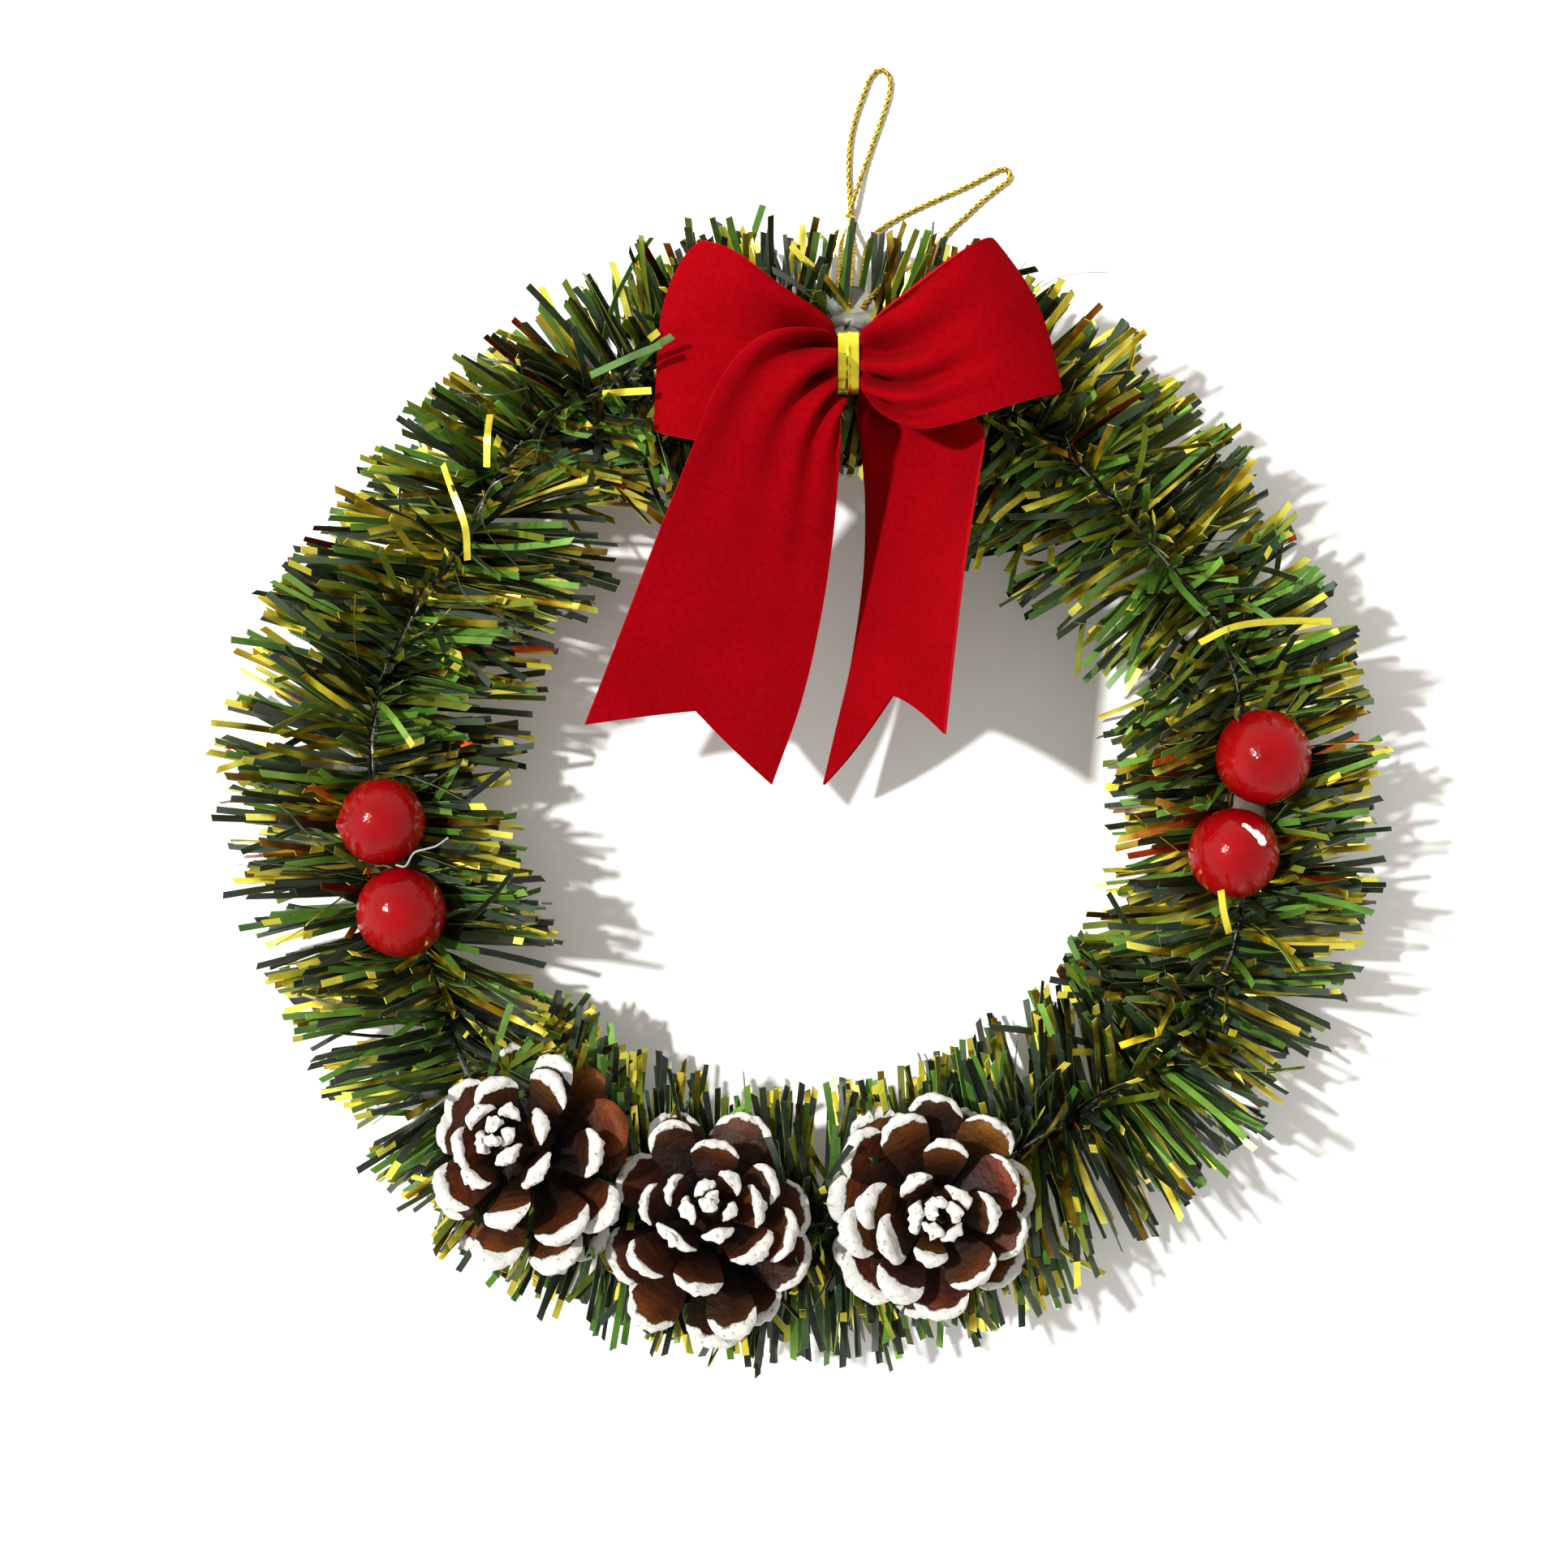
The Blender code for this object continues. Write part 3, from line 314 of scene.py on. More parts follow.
def finish_piece(name, mesh, replaced, sharp):
    """Puts a mesh in the scene as a piece that rides on the root body."""
    bm = bmesh.new()
    bm.from_mesh(mesh)
    bmesh.ops.recalc_face_normals(bm, faces=bm.faces)
    bm.to_mesh(mesh)
    bm.free()
    mesh.shade_smooth()
    mesh.set_sharp_from_angle(angle=math.radians(sharp))
    obj = bpy.data.objects.new(name, mesh)
    bpy.context.scene.collection.objects.link(obj)
    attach(obj, "root")
    if replaced:
        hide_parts(*replaced)
    return obj


# Materials

def set_input(tree, socket, value):
    """Links a socket to an input, or sets a plain value on it."""
    if isinstance(value, bpy.types.NodeSocket):
        tree.links.new(value, socket)
    else:
        socket.default_value = value


def add_node(tree, kind, inputs=None, **settings):
    """A shader node with its settings and its inputs, each a value or a socket."""
    made = tree.nodes.new(kind)
    for key, value in settings.items():
        setattr(made, key, value)
    for key, value in (inputs or {}).items():
        set_input(tree, made.inputs[key], value)
    return made


def as_colour(value):
    """A colour with its alpha, from a colour or from one number for a grey."""
    return (*value, 1.0) if isinstance(value, tuple) else (value, value, value, 1.0)


class Surface:
    """A Principled material and the nodes that feed its shader."""

    def __init__(self, name, **sockets):
        self.material = bpy.data.materials.new(name)
        self.material.use_nodes = True
        self.tree = self.material.node_tree
        self.shader = self.tree.nodes["Principled BSDF"]
        self.feed(**sockets)

    def feed(self, **sockets):
        """Sets or links inputs of the shader, with _ for each space in their names."""
        for key, value in sockets.items():
            set_input(self.tree, self.shader.inputs[key.replace("_", " ")], value)

    def painted(self, name, output="Fac"):
        """A value that the piece's mesh carries."""
        return add_node(self.tree, "ShaderNodeAttribute", attribute_name=name).outputs[output]

    def noise(self, scale, detail, seed=None):
        """Noise in the piece's own space, with its scale in waves a metre."""
        place = self.tree.nodes.new("ShaderNodeTexCoord").outputs["Object"]
        inputs = {"Scale": scale, "Detail": detail, "Vector": place}
        settings = {}
        if seed is not None:
            inputs["W"] = seed
            settings["noise_dimensions"] = "4D"
        return add_node(self.tree, "ShaderNodeTexNoise", inputs, **settings).outputs["Fac"]

    def ramp(self, value, *stops, ease=False):
        """A colour ramp through (position, colour) stops."""
        made = add_node(self.tree, "ShaderNodeValToRGB", {"Fac": value})
        band = made.color_ramp
        if ease:
            band.interpolation = "EASE"
        while len(band.elements) < len(stops):
            band.elements.new(0.5)
        for element, (position, colour) in zip(band.elements, stops):
            element.position = position
            element.color = as_colour(colour)
        return made.outputs["Color"]

    def mottle(self, scale, detail, *stops, seed=None):
        """A colour ramp over noise."""
        return self.ramp(self.noise(scale, detail, seed), *stops)

    def mix(self, share, first, second, blend="MIX"):
        """Two colours mixed."""
        made = add_node(self.tree, "ShaderNodeMix", data_type="RGBA", blend_type=blend)
        set_input(self.tree, made.inputs[0], share)
        for index, value in ((6, first), (7, second)):
            plain = not isinstance(value, bpy.types.NodeSocket)
            set_input(self.tree, made.inputs[index], as_colour(value) if plain else value)
        return made.outputs[2]

    def times(self, first, second):
        """Two colours multiplied."""
        return self.mix(1.0, first, second, "MULTIPLY")

    def number(self, operation, *values, clamp=False):
        """One arithmetic step on sockets or numbers."""
        made = add_node(self.tree, "ShaderNodeMath", operation=operation, use_clamp=clamp)
        for index, value in enumerate(values):
            set_input(self.tree, made.inputs[index], value)
        return made.outputs[0]

    def bump(self, height, strength, distance):
        """Relief from a height, distance in millimetres."""
        inputs = {"Height": height, "Strength": strength, "Distance": distance * MM}
        self.feed(Normal=add_node(self.tree, "ShaderNodeBump", inputs).outputs["Normal"])


def green_film():
    """Satin plastic film: dark and mid greens by strip, gently dented."""
    look = Surface("green_film", Specular_IOR_Level=0.55)
    seed = look.number("MULTIPLY", look.painted("value"), SEED_SPREAD)
    patches = look.mottle(150, 1, (0.3, 0.6), (0.7, 1.35), seed=seed)
    look.feed(
        Base_Color=look.times(look.painted("tint", "Color"), patches),
        Roughness=look.mottle(200, 2, (0.3, 0.16), (0.7, 0.36), seed=seed),
    )
    look.bump(look.noise(160, 1, seed), 0.5, 0.35)
    return look.material


def gold_foil():
    """Metallised film: bright gold with brown and pale stretches, which are painted reflections of dark
    surroundings; slightly dented.
    """
    look = Surface("gold_foil", Metallic=1.0)
    seed = look.number("MULTIPLY", look.painted("value"), SEED_SPREAD)
    # Painted reflection: the brown stretches stand for the foil reflecting dark surroundings
    patches = look.mottle(
        110, 1, (0.34, (0.26, 0.17, 0.06)), (0.42, (0.55, 0.47, 0.24)), (0.50, 1.0), seed=seed
    )
    look.feed(
        Base_Color=look.times(look.painted("tint", "Color"), patches),
        Roughness=look.mottle(200, 1, (0.3, 0.18), (0.7, 0.42), seed=seed),
    )
    look.bump(look.noise(140, 1, seed), 0.6, 0.4)
    return look.material


def velvet():
    """Flocked ribbon: deep red pile with a soft sheen and a slightly paler cut edge."""
    look = Surface(
        "red_velvet", Roughness=0.95, Sheen_Weight=0.12, Sheen_Roughness=0.45,
        Sheen_Tint=(1.0, 0.04, 0.05, 1.0), Specular_IOR_Level=0.0,
    )
    pile = look.mottle(1100, 4, (0.25, (0.185, 0.0008, 0.0026)), (0.75, (0.245, 0.0013, 0.004)))
    brushed = look.mottle(60, 3, (0.3, 0.90), (0.7, 1.08))
    edge = look.ramp(look.painted("value"), (0.90, 0.0), (1.0, 1.0))
    look.feed(Base_Color=look.mix(edge, look.times(pile, brushed), (0.34, 0.006, 0.010)))
    look.bump(look.noise(3500, 2), 0.35, 0.12)
    return look.material


def metal_yarn():
    """Gold yarn: metallic wraps, painted darker in the hollows between the strands as painted shade."""
    look = Surface("cord_gold", Metallic=1.0, Roughness=0.42)
    strands = look.ramp(
        look.painted("value"),
        (0.0, (0.08, 0.045, 0.006)), (0.45, (0.32, 0.20, 0.022)), (1.0, (0.66, 0.50, 0.07)),
    )
    wraps = look.mottle(1300, 2, (0.38, 0.55), (0.62, 1.25))
    look.feed(Base_Color=look.times(strands, wraps))
    look.bump(look.noise(5000, 1), 0.5, 0.08)
    return look.material


def tie_foil():
    """Gold foil of the twist tie, crinkled, with brown specks, and browner on its side towards the tails:
    painted shade on the side away from the light.
    """
    look = Surface("tie_gold", Metallic=1.0, Roughness=0.3)
    specks = look.mottle(650, 2, (0.21, (0.20, 0.11, 0.01)), (0.26, (0.92, 0.82, 0.06)))
    cloud = look.mottle(300, 2, (0.3, 0.92), (0.7, 1.06))
    painted_shade = look.number("MULTIPLY", look.painted("value"), 0.85, clamp=True)
    look.feed(Base_Color=look.mix(painted_shade, look.times(specks, cloud), (0.34, 0.20, 0.02)))
    look.bump(look.noise(400, 1), 0.08, 0.12)
    return look.material


def painted_wood():
    """Woody scales in red and dark browns, with thick lumpy white paint on their tips."""
    look = Surface("cone_wood", Specular_IOR_Level=0.12)
    grain = look.noise(1600, 4)
    blotches = look.mottle(230, 4, (0.30, 0.50), (0.50, 0.95), (0.72, 1.35))
    fine = look.ramp(grain, (0.3, 0.72), (0.7, 1.2))
    brown = look.times(look.times(look.painted("tint", "Color"), blotches), fine)
    chips = look.number("MULTIPLY", look.number("SUBTRACT", look.noise(420, 4), 0.5), 0.42)
    level = look.number("ADD", look.painted("value"), chips)
    mask = look.ramp(level, (0.49, 0.0), (0.52, 1.0))
    white = look.mottle(
        1100, 4,
        (0.30, (0.22, 0.18, 0.15)), (0.38, (0.52, 0.51, 0.48)), (0.8, (0.62, 0.61, 0.585)),
    )
    look.feed(Base_Color=look.mix(mask, brown, white), Roughness=look.mix(mask, 0.5, 0.62))
    ridge = look.ramp(level, (0.46, 0.0), (0.56, 1.0), ease=True)
    lumps = look.number("MULTIPLY", look.noise(700, 3), 0.5)
    height = look.number("ADD", look.number("MULTIPLY", ridge, 0.8), lumps)
    height = look.number("ADD", height, look.number("MULTIPLY", grain, 0.12))
    look.bump(height, 0.9, 0.6)
    return look.material


def berry_lacquer():
    """Glossy red lacquer over a lumpy ball, with a chip that shows the white foam."""
    look = Surface("berry_red", Specular_IOR_Level=0.2)
    red = look.mottle(140, 3, (0.3, (0.175, 0.0005, 0.0015)), (0.7, (0.26, 0.001, 0.003)))
    chip = look.ramp(look.painted("value"), (0.46, 0.0), (0.54, 1.0))
    look.feed(
        Base_Color=look.mix(chip, red, (0.85, 0.74, 0.70)), Roughness=look.mix(chip, 0.14, 0.8)
    )
    peel = look.number("MULTIPLY", look.noise(1300, 2), 0.35)
    look.bump(look.number("ADD", look.noise(260, 3), peel), 0.4, 0.5)
    return look.material


def glue_material():
    """Hot-melt glue: milky and half clear, with a soft uneven shine."""
    look = Surface("hot_glue", Transmission_Weight=0.35, IOR=1.46)
    milk = look.mottle(260, 3, (0.3, (0.33, 0.34, 0.29)), (0.7, (0.50, 0.50, 0.45)))
    look.feed(
        Base_Color=look.times(look.painted("tint", "Color"), milk),
        Roughness=look.mottle(500, 3, (0.3, 0.50), (0.7, 0.75)),
    )
    look.bump(look.noise(500, 3), 0.4, 0.25)
    return look.material


def steel_wire():
    """Dull wire with fine marks, painted dark as painted shade deep among the strips."""
    look = Surface("core_steel", Metallic=1.0)
    look.feed(
        Base_Color=look.mottle(900, 4, (0.3, (0.045, 0.05, 0.04)), (0.7, (0.12, 0.125, 0.11))),
        Roughness=look.mottle(1400, 2, (0.3, 0.35), (0.7, 0.6)),
    )
    look.bump(look.noise(3000, 2), 0.3, 0.05)
    return look.material


def tabletop():
    """A plain pale matt surface."""
    look = Surface("tabletop", Roughness=0.9)
    tone = look.mottle(3, 2, (0.3, (0.83, 0.825, 0.815)), (0.7, (0.86, 0.86, 0.855)))
    look.feed(Base_Color=tone)
    return look.material


# Camera, light and table

def place_camera():
    """A camera straight above, looking down."""
    data = bpy.data.cameras.new("camera")
    data.lens = CAMERA_LENS
    data.clip_start = 0.01
    camera = bpy.data.objects.new("camera", data)
    camera.location = Vector(CAMERA_PLACE) * MM
    bpy.context.scene.collection.objects.link(camera)
    bpy.context.scene.camera = camera


def light_scene():
    """One key light from the upper left, and pale surroundings."""
    key = bpy.data.lights.new("key", "SUN")
    key.energy = KEY_STRENGTH
    key.angle = math.radians(KEY_ANGLE)
    key.color = KEY_COLOUR
    lamp = bpy.data.objects.new("key", key)
    lamp.rotation_euler = Vector(KEY_DIRECTION).to_track_quat("-Z", "Y").to_euler()
    bpy.context.scene.collection.objects.link(lamp)
    world = bpy.data.worlds.new("surroundings")
    world.use_nodes = True
    tree = world.node_tree
    way = tree.nodes.new("ShaderNodeTexCoord").outputs["Generated"]
    ways = {0: way, 1: Vector(FILL_WAY).normalized()}
    facing = add_node(tree, "ShaderNodeVectorMath", ways, operation="DOT_PRODUCT")
    level = add_node(tree, "ShaderNodeMapRange", {
        "Value": facing.outputs["Value"], "From Min": -1.0, "From Max": 0.25,
        "To Min": FILL_ABOVE, "To Max": FILL_LOW,
    })
    back = tree.nodes["Background"]
    set_input(tree, back.inputs["Color"], FILL_COLOUR)
    set_input(tree, back.inputs["Strength"], level.outputs["Result"])
    bpy.context.scene.world = world
    bpy.context.scene.view_settings.view_transform = "Standard"


def lay_table():
    """A wide round table."""
    bm = bmesh.new()
    bmesh.ops.create_circle(bm, cap_ends=True, segments=96, radius=TABLE_RADIUS * MM)
    mesh = bpy.data.meshes.new("table")
    bm.to_mesh(mesh)
    bm.free()
    mesh.materials.append(tabletop())
    table = bpy.data.objects.new("table", mesh)
    bpy.context.scene.collection.objects.link(table)


# Hanging loops

CORD_DIAMETER = 1.1
CORD_STRANDS = 3
CORD_TWIST = 4.1
DENSE_STEPS = 1500
CORD_STEP = 0.3
SIDES_PER_STRAND = 5
# Shares of the cord's radius at the hollows between strands, and added on top of them
STRAND_HOLLOW = 0.46
STRAND_SWELL = 0.46
STRAIGHT_LOOP = (
    (7.0, 90.4, 20.6), (7.4, 95.0, 17.6), (7.9, 101.0, 10.6), (8.4, 106.2, 4.6),
    (9.3, 110.2, 2.4), (10.3, 113.2, 2.2), (11.6, 117.2, 1.5), (12.9, 121.0, 0.8),
    (14.5, 125.6, 0.6), (16.2, 130.4, 0.6), (17.7, 135.2, 0.6), (17.9, 138.6, 0.6),
    (16.2, 140.4, 0.6), (14.2, 139.0, 0.6), (12.8, 135.6, 0.6), (11.3, 131.4, 0.6),
    (10.2, 126.6, 0.6), (9.8, 121.0, 0.6), (10.1, 114.2, 0.6), (10.6, 110.0, 1.1),
    (10.7, 105.6, 4.8), (10.4, 100.0, 12.0), (9.9, 95.0, 18.4), (9.4, 90.6, 22.6),
)
SLANTED_LOOP = (
    (11.2, 90.0, 17.0), (11.7, 94.6, 14.8), (12.4, 100.0, 9.6), (13.3, 105.0, 4.0),
    (15.4, 108.4, 1.2), (19.0, 110.9, 0.6), (23.7, 113.3, 0.6), (28.2, 115.3, 0.6),
    (33.0, 117.4, 0.6), (37.4, 119.7, 0.6), (40.4, 120.9, 0.6), (41.4, 119.0, 0.6),
    (38.9, 116.9, 0.6), (35.8, 114.4, 0.6), (32.8, 111.6, 0.6), (29.7, 108.8, 0.6),
    (27.2, 105.9, 1.2), (24.2, 102.8, 4.2), (21.1, 99.9, 9.2), (17.7, 97.0, 15.4),
    (14.6, 93.6, 20.6), (11.8, 90.2, 22.8),
)


def even_points(route, step):
    """Points about this far apart along the smooth curve through a route."""
    dense = [smooth_point(route, i / DENSE_STEPS) for i in range(DENSE_STEPS + 1)]
    lengths = [0.0]
    for p, q in zip(dense, dense[1:]):
        lengths.append(lengths[-1] + (q - p).length)
    count = round(lengths[-1] / step)
    points = []
    k = 0
    for i in range(count + 1):
        wanted = lengths[-1] * i / count
        while k < len(dense) - 2 and lengths[k + 1] < wanted:
            k += 1
        t = (wanted - lengths[k]) / (lengths[k + 1] - lengths[k])
        points.append(dense[k].lerp(dense[k + 1], t))
    return points


def carried_frames(points):
    """Each point with its way ahead, side and up, turned as little as possible."""
    side = Vector((0, 0, 1)).cross(points[1] - points[0]).normalized()
    frames = []
    for i, point in enumerate(points):
        ahead = points[min(i + 1, len(points) - 1)] - points[max(i - 1, 0)]
        ahead.normalize()
        side = (side - side.dot(ahead) * ahead).normalized()
        frames.append((point, ahead, side, ahead.cross(side)))
    return frames


def twisted_cord(name, route, material):
    """A laid cord of round strands, twisted together along its route."""
    points = even_points(route, CORD_STEP)
    sides = CORD_STRANDS * SIDES_PER_STRAND
    rings = []
    values = []
    length = 0.0
    for i, (point, _, side, up) in enumerate(carried_frames(points)):
        if i:
            length += (point - points[i - 1]).length
        twist = math.tau * length / CORD_TWIST
        ring = []
        for k in range(sides):
            turn = math.tau * k / sides
            lobe = abs(math.cos(CORD_STRANDS * turn / 2))
            radius = CORD_DIAMETER / 2 * (STRAND_HOLLOW + STRAND_SWELL * lobe)
            ring.append(point + radius * (math.cos(turn + twist) * side + math.sin(turn + twist) * up))
            # Painted shade: the value is lowest in the hollows between strands, where the yarn's colour
            # is painted dark
            values.append(lobe)
        rings.append(ring)
    shape = Shape()
    shape.loft(rings, values=values)
    piece = shape.piece(name + "_cord", material, "cord_gold", [name], sharp=80)


# The velvet bow

# The bow's gathered middle
PINCH = Vector((8.9, 77.6, 38.0))
KNOT_RADII = (7.0, 5.3, 3.7)
KNOT_STEPS = 22
KNOT_SIDES = 64
# The foil tie round it: half its width, its gap to the velvet, its thickness, and how high
# the ridge of its wire stands
TIE_HALF_WIDTH = 1.9
TIE_GAP = 0.3
TIE_FACE = 0.2
TIE_RIDGE = 0.14
TIE_STEPS = 24
TIE_SIDES = 96
RIBBON_WIDE = 38.0
RIBBON_THICK = 0.5
# How far in from a ribbon's cut edges the value painted along them falls to 0
EDGE_BAND = 1.8
LEFT_LOOP_TOP = (
    (6.3, 82.8, 40.2), (2.1, 86.9, 44.0), (-4.5, 91.0, 47.5), (-11.8, 96.6, 47.5),
    (-16.8, 98.9, 44.0), (-17.8, 99.6, 37.5), (-15.2, 97.6, 31.0), (-6.8, 92.4, 29.5),
    (2.2, 86.6, 32.0), (6.3, 82.4, 36.0),
)
LEFT_LOOP_BOTTOM = (
    (6.3, 72.4, 39.6), (2.1, 68.8, 42.0), (-5.2, 65.1, 44.0), (-15.5, 62.8, 43.0),
    (-23.7, 64.0, 40.5), (-26.8, 65.9, 35.5), (-23.8, 67.7, 30.0), (-12.9, 70.2, 28.5),
    (-0.8, 72.0, 31.0), (6.3, 72.8, 36.0),
)
RIGHT_LOOP_TOP = (
    (11.5, 82.8, 40.2), (14.8, 85.9, 45.0), (21.0, 90.1, 51.0), (28.3, 95.4, 52.0),
    (33.1, 98.5, 49.0), (35.4, 99.2, 42.0), (33.0, 97.0, 35.5), (24.9, 91.2, 33.0),
    (16.5, 85.5, 33.5), (11.5, 82.4, 36.0),
)
RIGHT_LOOP_BOTTOM = (
    (11.5, 72.4, 40.2), (14.8, 67.8, 45.0), (21.1, 64.4, 50.0), (29.0, 65.4, 52.0),
    (38.6, 68.6, 50.0), (47.4, 71.7, 43.5), (44.9, 71.5, 37.0), (33.9, 71.6, 35.0),
    (20.3, 72.2, 34.0), (11.5, 73.0, 36.0),
)
LEFT_TAIL_OUTER = (
    (6.3, 81.6, 41.0), (2.1, 82.5, 47.5), (-4.5, 81.3, 53.0), (-10.3, 77.5, 55.0),
    (-15.4, 70.8, 53.0), (-20.0, 59.9, 47.0), (-25.8, 46.4, 41.0), (-32.3, 30.3, 36.0),
    (-40.0, 11.2, 32.0),
)
LEFT_TAIL_INNER = (
    (6.3, 73.2, 41.0), (7.0, 69.0, 43.5), (7.3, 65.6, 45.0), (7.3, 61.5, 44.0),
    (7.0, 55.5, 40.5), (6.1, 45.5, 35.5), (4.0, 31.5, 30.5), (0.4, 15.8, 27.0),
    (-5.2, 0.0, 24.0),
)
RIGHT_TAIL_INNER = (
    (11.5, 74.4, 36.0), (10.8, 68.8, 31.5), (11.9, 61.6, 26.5), (12.6, 52.9, 22.0),
    (12.3, 39.4, 19.0), (10.1, 23.4, 17.5), (7.3, 11.1, 16.5), (4.7, 0.0, 16.0),
)
RIGHT_TAIL_OUTER = (
    (11.5, 80.4, 36.0), (20.5, 73.5, 33.0), (28.5, 69.6, 35.5), (33.5, 65.0, 40.5),
    (32.2, 55.3, 45.5), (30.0, 42.6, 48.0), (28.2, 28.9, 49.0), (26.0, 9.1, 49.0),
)
LEFT_TAIL_NOTCH = 0.058
RIGHT_TAIL_NOTCH = 0.11
PLEAT_DEPTH = 1.5
# Shares of a loop's length between which its pleats fade, short of its far fold
FOLD_SHARES = (0.26, 0.44)
# The tie's stretch along Y, and how near its middle a ribbon may come in X
TIE_REACH = 7.5
TIE_CLEARANCE = 2.35
# Share of a loop's length at its far fold, and for each loop how far its fold bows out
# in X and at what share across the ribbon
FOLD_PLACE = 0.53
FOLD_BULGES = {"left_loop": (-4.0, 0.32), "right_loop": (2.8, 0.45)}
# The turned-up outer edge of the right tail: where its crease begins and ends across the
# ribbon, and how high the edge stands
CREASE_ACROSS = (0.97, 0.62)
CREASE_RISE = 2.6
# Name, two edges, rows along and across, pleats, how far they reach, whether both ends
# are gathered, notch, and the length of ribbon in it
RIBBONS = (
    ("left_loop", LEFT_LOOP_TOP, LEFT_LOOP_BOTTOM, 110, 44, 2.5, 0.20, True, 0.0, 68.0),
    ("right_loop", RIGHT_LOOP_TOP, RIGHT_LOOP_BOTTOM, 110, 52, 3.5, 0.24, True, 0.0, 80.0),
    ("left_tail", LEFT_TAIL_OUTER, LEFT_TAIL_INNER, 110, 56, 3.5, 0.30, False, LEFT_TAIL_NOTCH, 92.0),
    ("right_tail", RIGHT_TAIL_INNER, RIGHT_TAIL_OUTER, 90, 40, 2.0, 0.20, False, RIGHT_TAIL_NOTCH, 75.0),
)


def smooth_step(low, high, value):
    """0 below the low value, 1 above the high one, with a smooth change between them."""
    t = max(0.0, min(1.0, (value - low) / (high - low)))
    return t * t * (3 - 2 * t)


def flat_grid(first_edge, second_edge, along, across, notch):
    """Points of a ribbon between its two edges, with a V cut into its far end."""
    grid = []
    for i in range(along + 1):
        row = []
        for j in range(across + 1):
            v = j / across
            share = i / along * (1 - notch * (1 - abs(2 * v - 1)))
            row.append(smooth_point(first_edge, share).lerp(smooth_point(second_edge, share), v))
        grid.append(row)
    return grid


def pleat_depth(from_pinch, wide, pleats, reach):
    """How deep pleats are where a ribbon is this wide, at this share from its gathered end."""
    slack = math.sqrt(max(0.0, 1 - (wide / RIBBON_WIDE) ** 2))
    depth = RIBBON_WIDE / (4 * pleats) * slack * math.exp(-((from_pinch / (1.6 * reach)) ** 2))
    depth += PLEAT_DEPTH * math.exp(-(((from_pinch - reach / 2) / (0.6 * reach)) ** 2))
    return depth * min(1.0, 0.12 + from_pinch / 0.07)


def beside_tie(point, moved):
    """The moved point, kept on its side of the tie where it would touch the tie."""
    if abs(moved.y - PINCH.y) < TIE_REACH and moved.z > PINCH.z - 3:
        side = 1 if point.x > PINCH.x else -1
        moved.x = PINCH.x + side * max(TIE_CLEARANCE, side * (moved.x - PINCH.x))
    return moved


def pleated_grid(grid, pleats, reach, both_ends):
    """A flat ribbon's points, with its spare width taken up in pleats."""
    along, across = len(grid) - 1, len(grid[0]) - 1
    pleated = []
    for i, row in enumerate(grid):
        u = i / along
        from_pinch = min(u, 1 - u) if both_ends else u
        depth = pleat_depth(from_pinch, (row[0] - row[-1]).length, pleats, reach)
        if both_ends:
            depth *= 1 - smooth_step(FOLD_SHARES[0], FOLD_SHARES[1], from_pinch)
        new_row = []
        for j, point in enumerate(row):
            v = j / across
            bend = v + 0.05 * math.sin(math.tau * v + 1.3) + 0.02 * math.sin(9 * u + 5 * v)
            wave = math.sin(math.tau * pleats * bend)
            wave = math.copysign(abs(wave) ** 0.85, wave) * math.sin(math.pi * v) ** 0.35
            soft = 0.35 * noise.noise(Vector((u * 7, v * 3, pleats * 5))) * math.sin(math.pi * v)
            moved = point + grid_normal(grid, i, j) * (depth * wave + soft)
            new_row.append(beside_tie(point, moved))
        pleated.append(new_row)
    return pleated


def shifted(grid, shift):
    """The grid with each point moved by a shift that depends on its shares along and across."""
    along, across = len(grid) - 1, len(grid[0]) - 1
    return [
        [point + shift(i / along, j / across) for j, point in enumerate(row)]
        for i, row in enumerate(grid)
    ]


def ribbon_pieces(material):
    """The bow's four stretches of ribbon. Returns their grids."""
    grids = []
    for name, first, second, along, across, pleats, reach, both, notch, length in RIBBONS:
        grid = pleated_grid(flat_grid(first, second, along, across, notch), pleats, reach, both)
        if name == "right_tail":
            grid = turned_edge(grid)
        if name in FOLD_BULGES:
            grid = rounded_fold(grid, *FOLD_BULGES[name])
        row = [1 - min(j, across - j) / across * RIBBON_WIDE / EDGE_BAND for j in range(across + 1)]
        shape = Shape()
        shape.sheet(grid, RIBBON_THICK, [row] * len(grid))
        piece = shape.piece("bow_" + name, material, "red_velvet", ["bow_ribbon"], sharp=70)
        grids.append(grid)
    return grids


def rounded_fold(grid, bulge, middle):
    """Bows a loop's far fold outwards, the most at this share across the ribbon."""
    skew = math.log(0.5) / math.log(middle)

    def shift(u, v):
        near = math.exp(-(((u - FOLD_PLACE) / 0.15) ** 2))
        return Vector((bulge * near * math.sin(math.pi * v**skew), 0, 0))

    return shifted(grid, shift)


def turned_edge(grid):
    """Turns up the outer side of a tail along a crease that runs across it."""
    start, end = CREASE_ACROSS

    def shift(u, v):
        past = max(0.0, v - (start + (end - start) * u)) / (1 - end)
        return UP * CREASE_RISE * past

    return shifted(grid, shift)


def bow_knot(material):
    """The gathered middle of the ribbon, inside the tie."""
    rings = []
    for i in range(KNOT_STEPS + 1):
        x = math.cos(math.pi * (1 - i / KNOT_STEPS))
        swell = math.sqrt(max(0.0004, 1 - x * x))
        ring = []
        for k in range(KNOT_SIDES):
            turn = math.tau * k / KNOT_SIDES
            crease = 1 - 0.10 * abs(math.sin(4 * turn + 0.6 * x)) ** 3
            y = KNOT_RADII[1] * swell * crease * math.cos(turn)
            z = KNOT_RADII[2] * swell * crease * math.sin(turn)
            ring.append(PINCH + Vector((KNOT_RADII[0] * x, y, z)))
        rings.append(ring)
    shape = Shape()
    shape.loft(rings)
    return shape.piece("bow_knot", material, "red_velvet", ["bow_ribbon"], sharp=70)


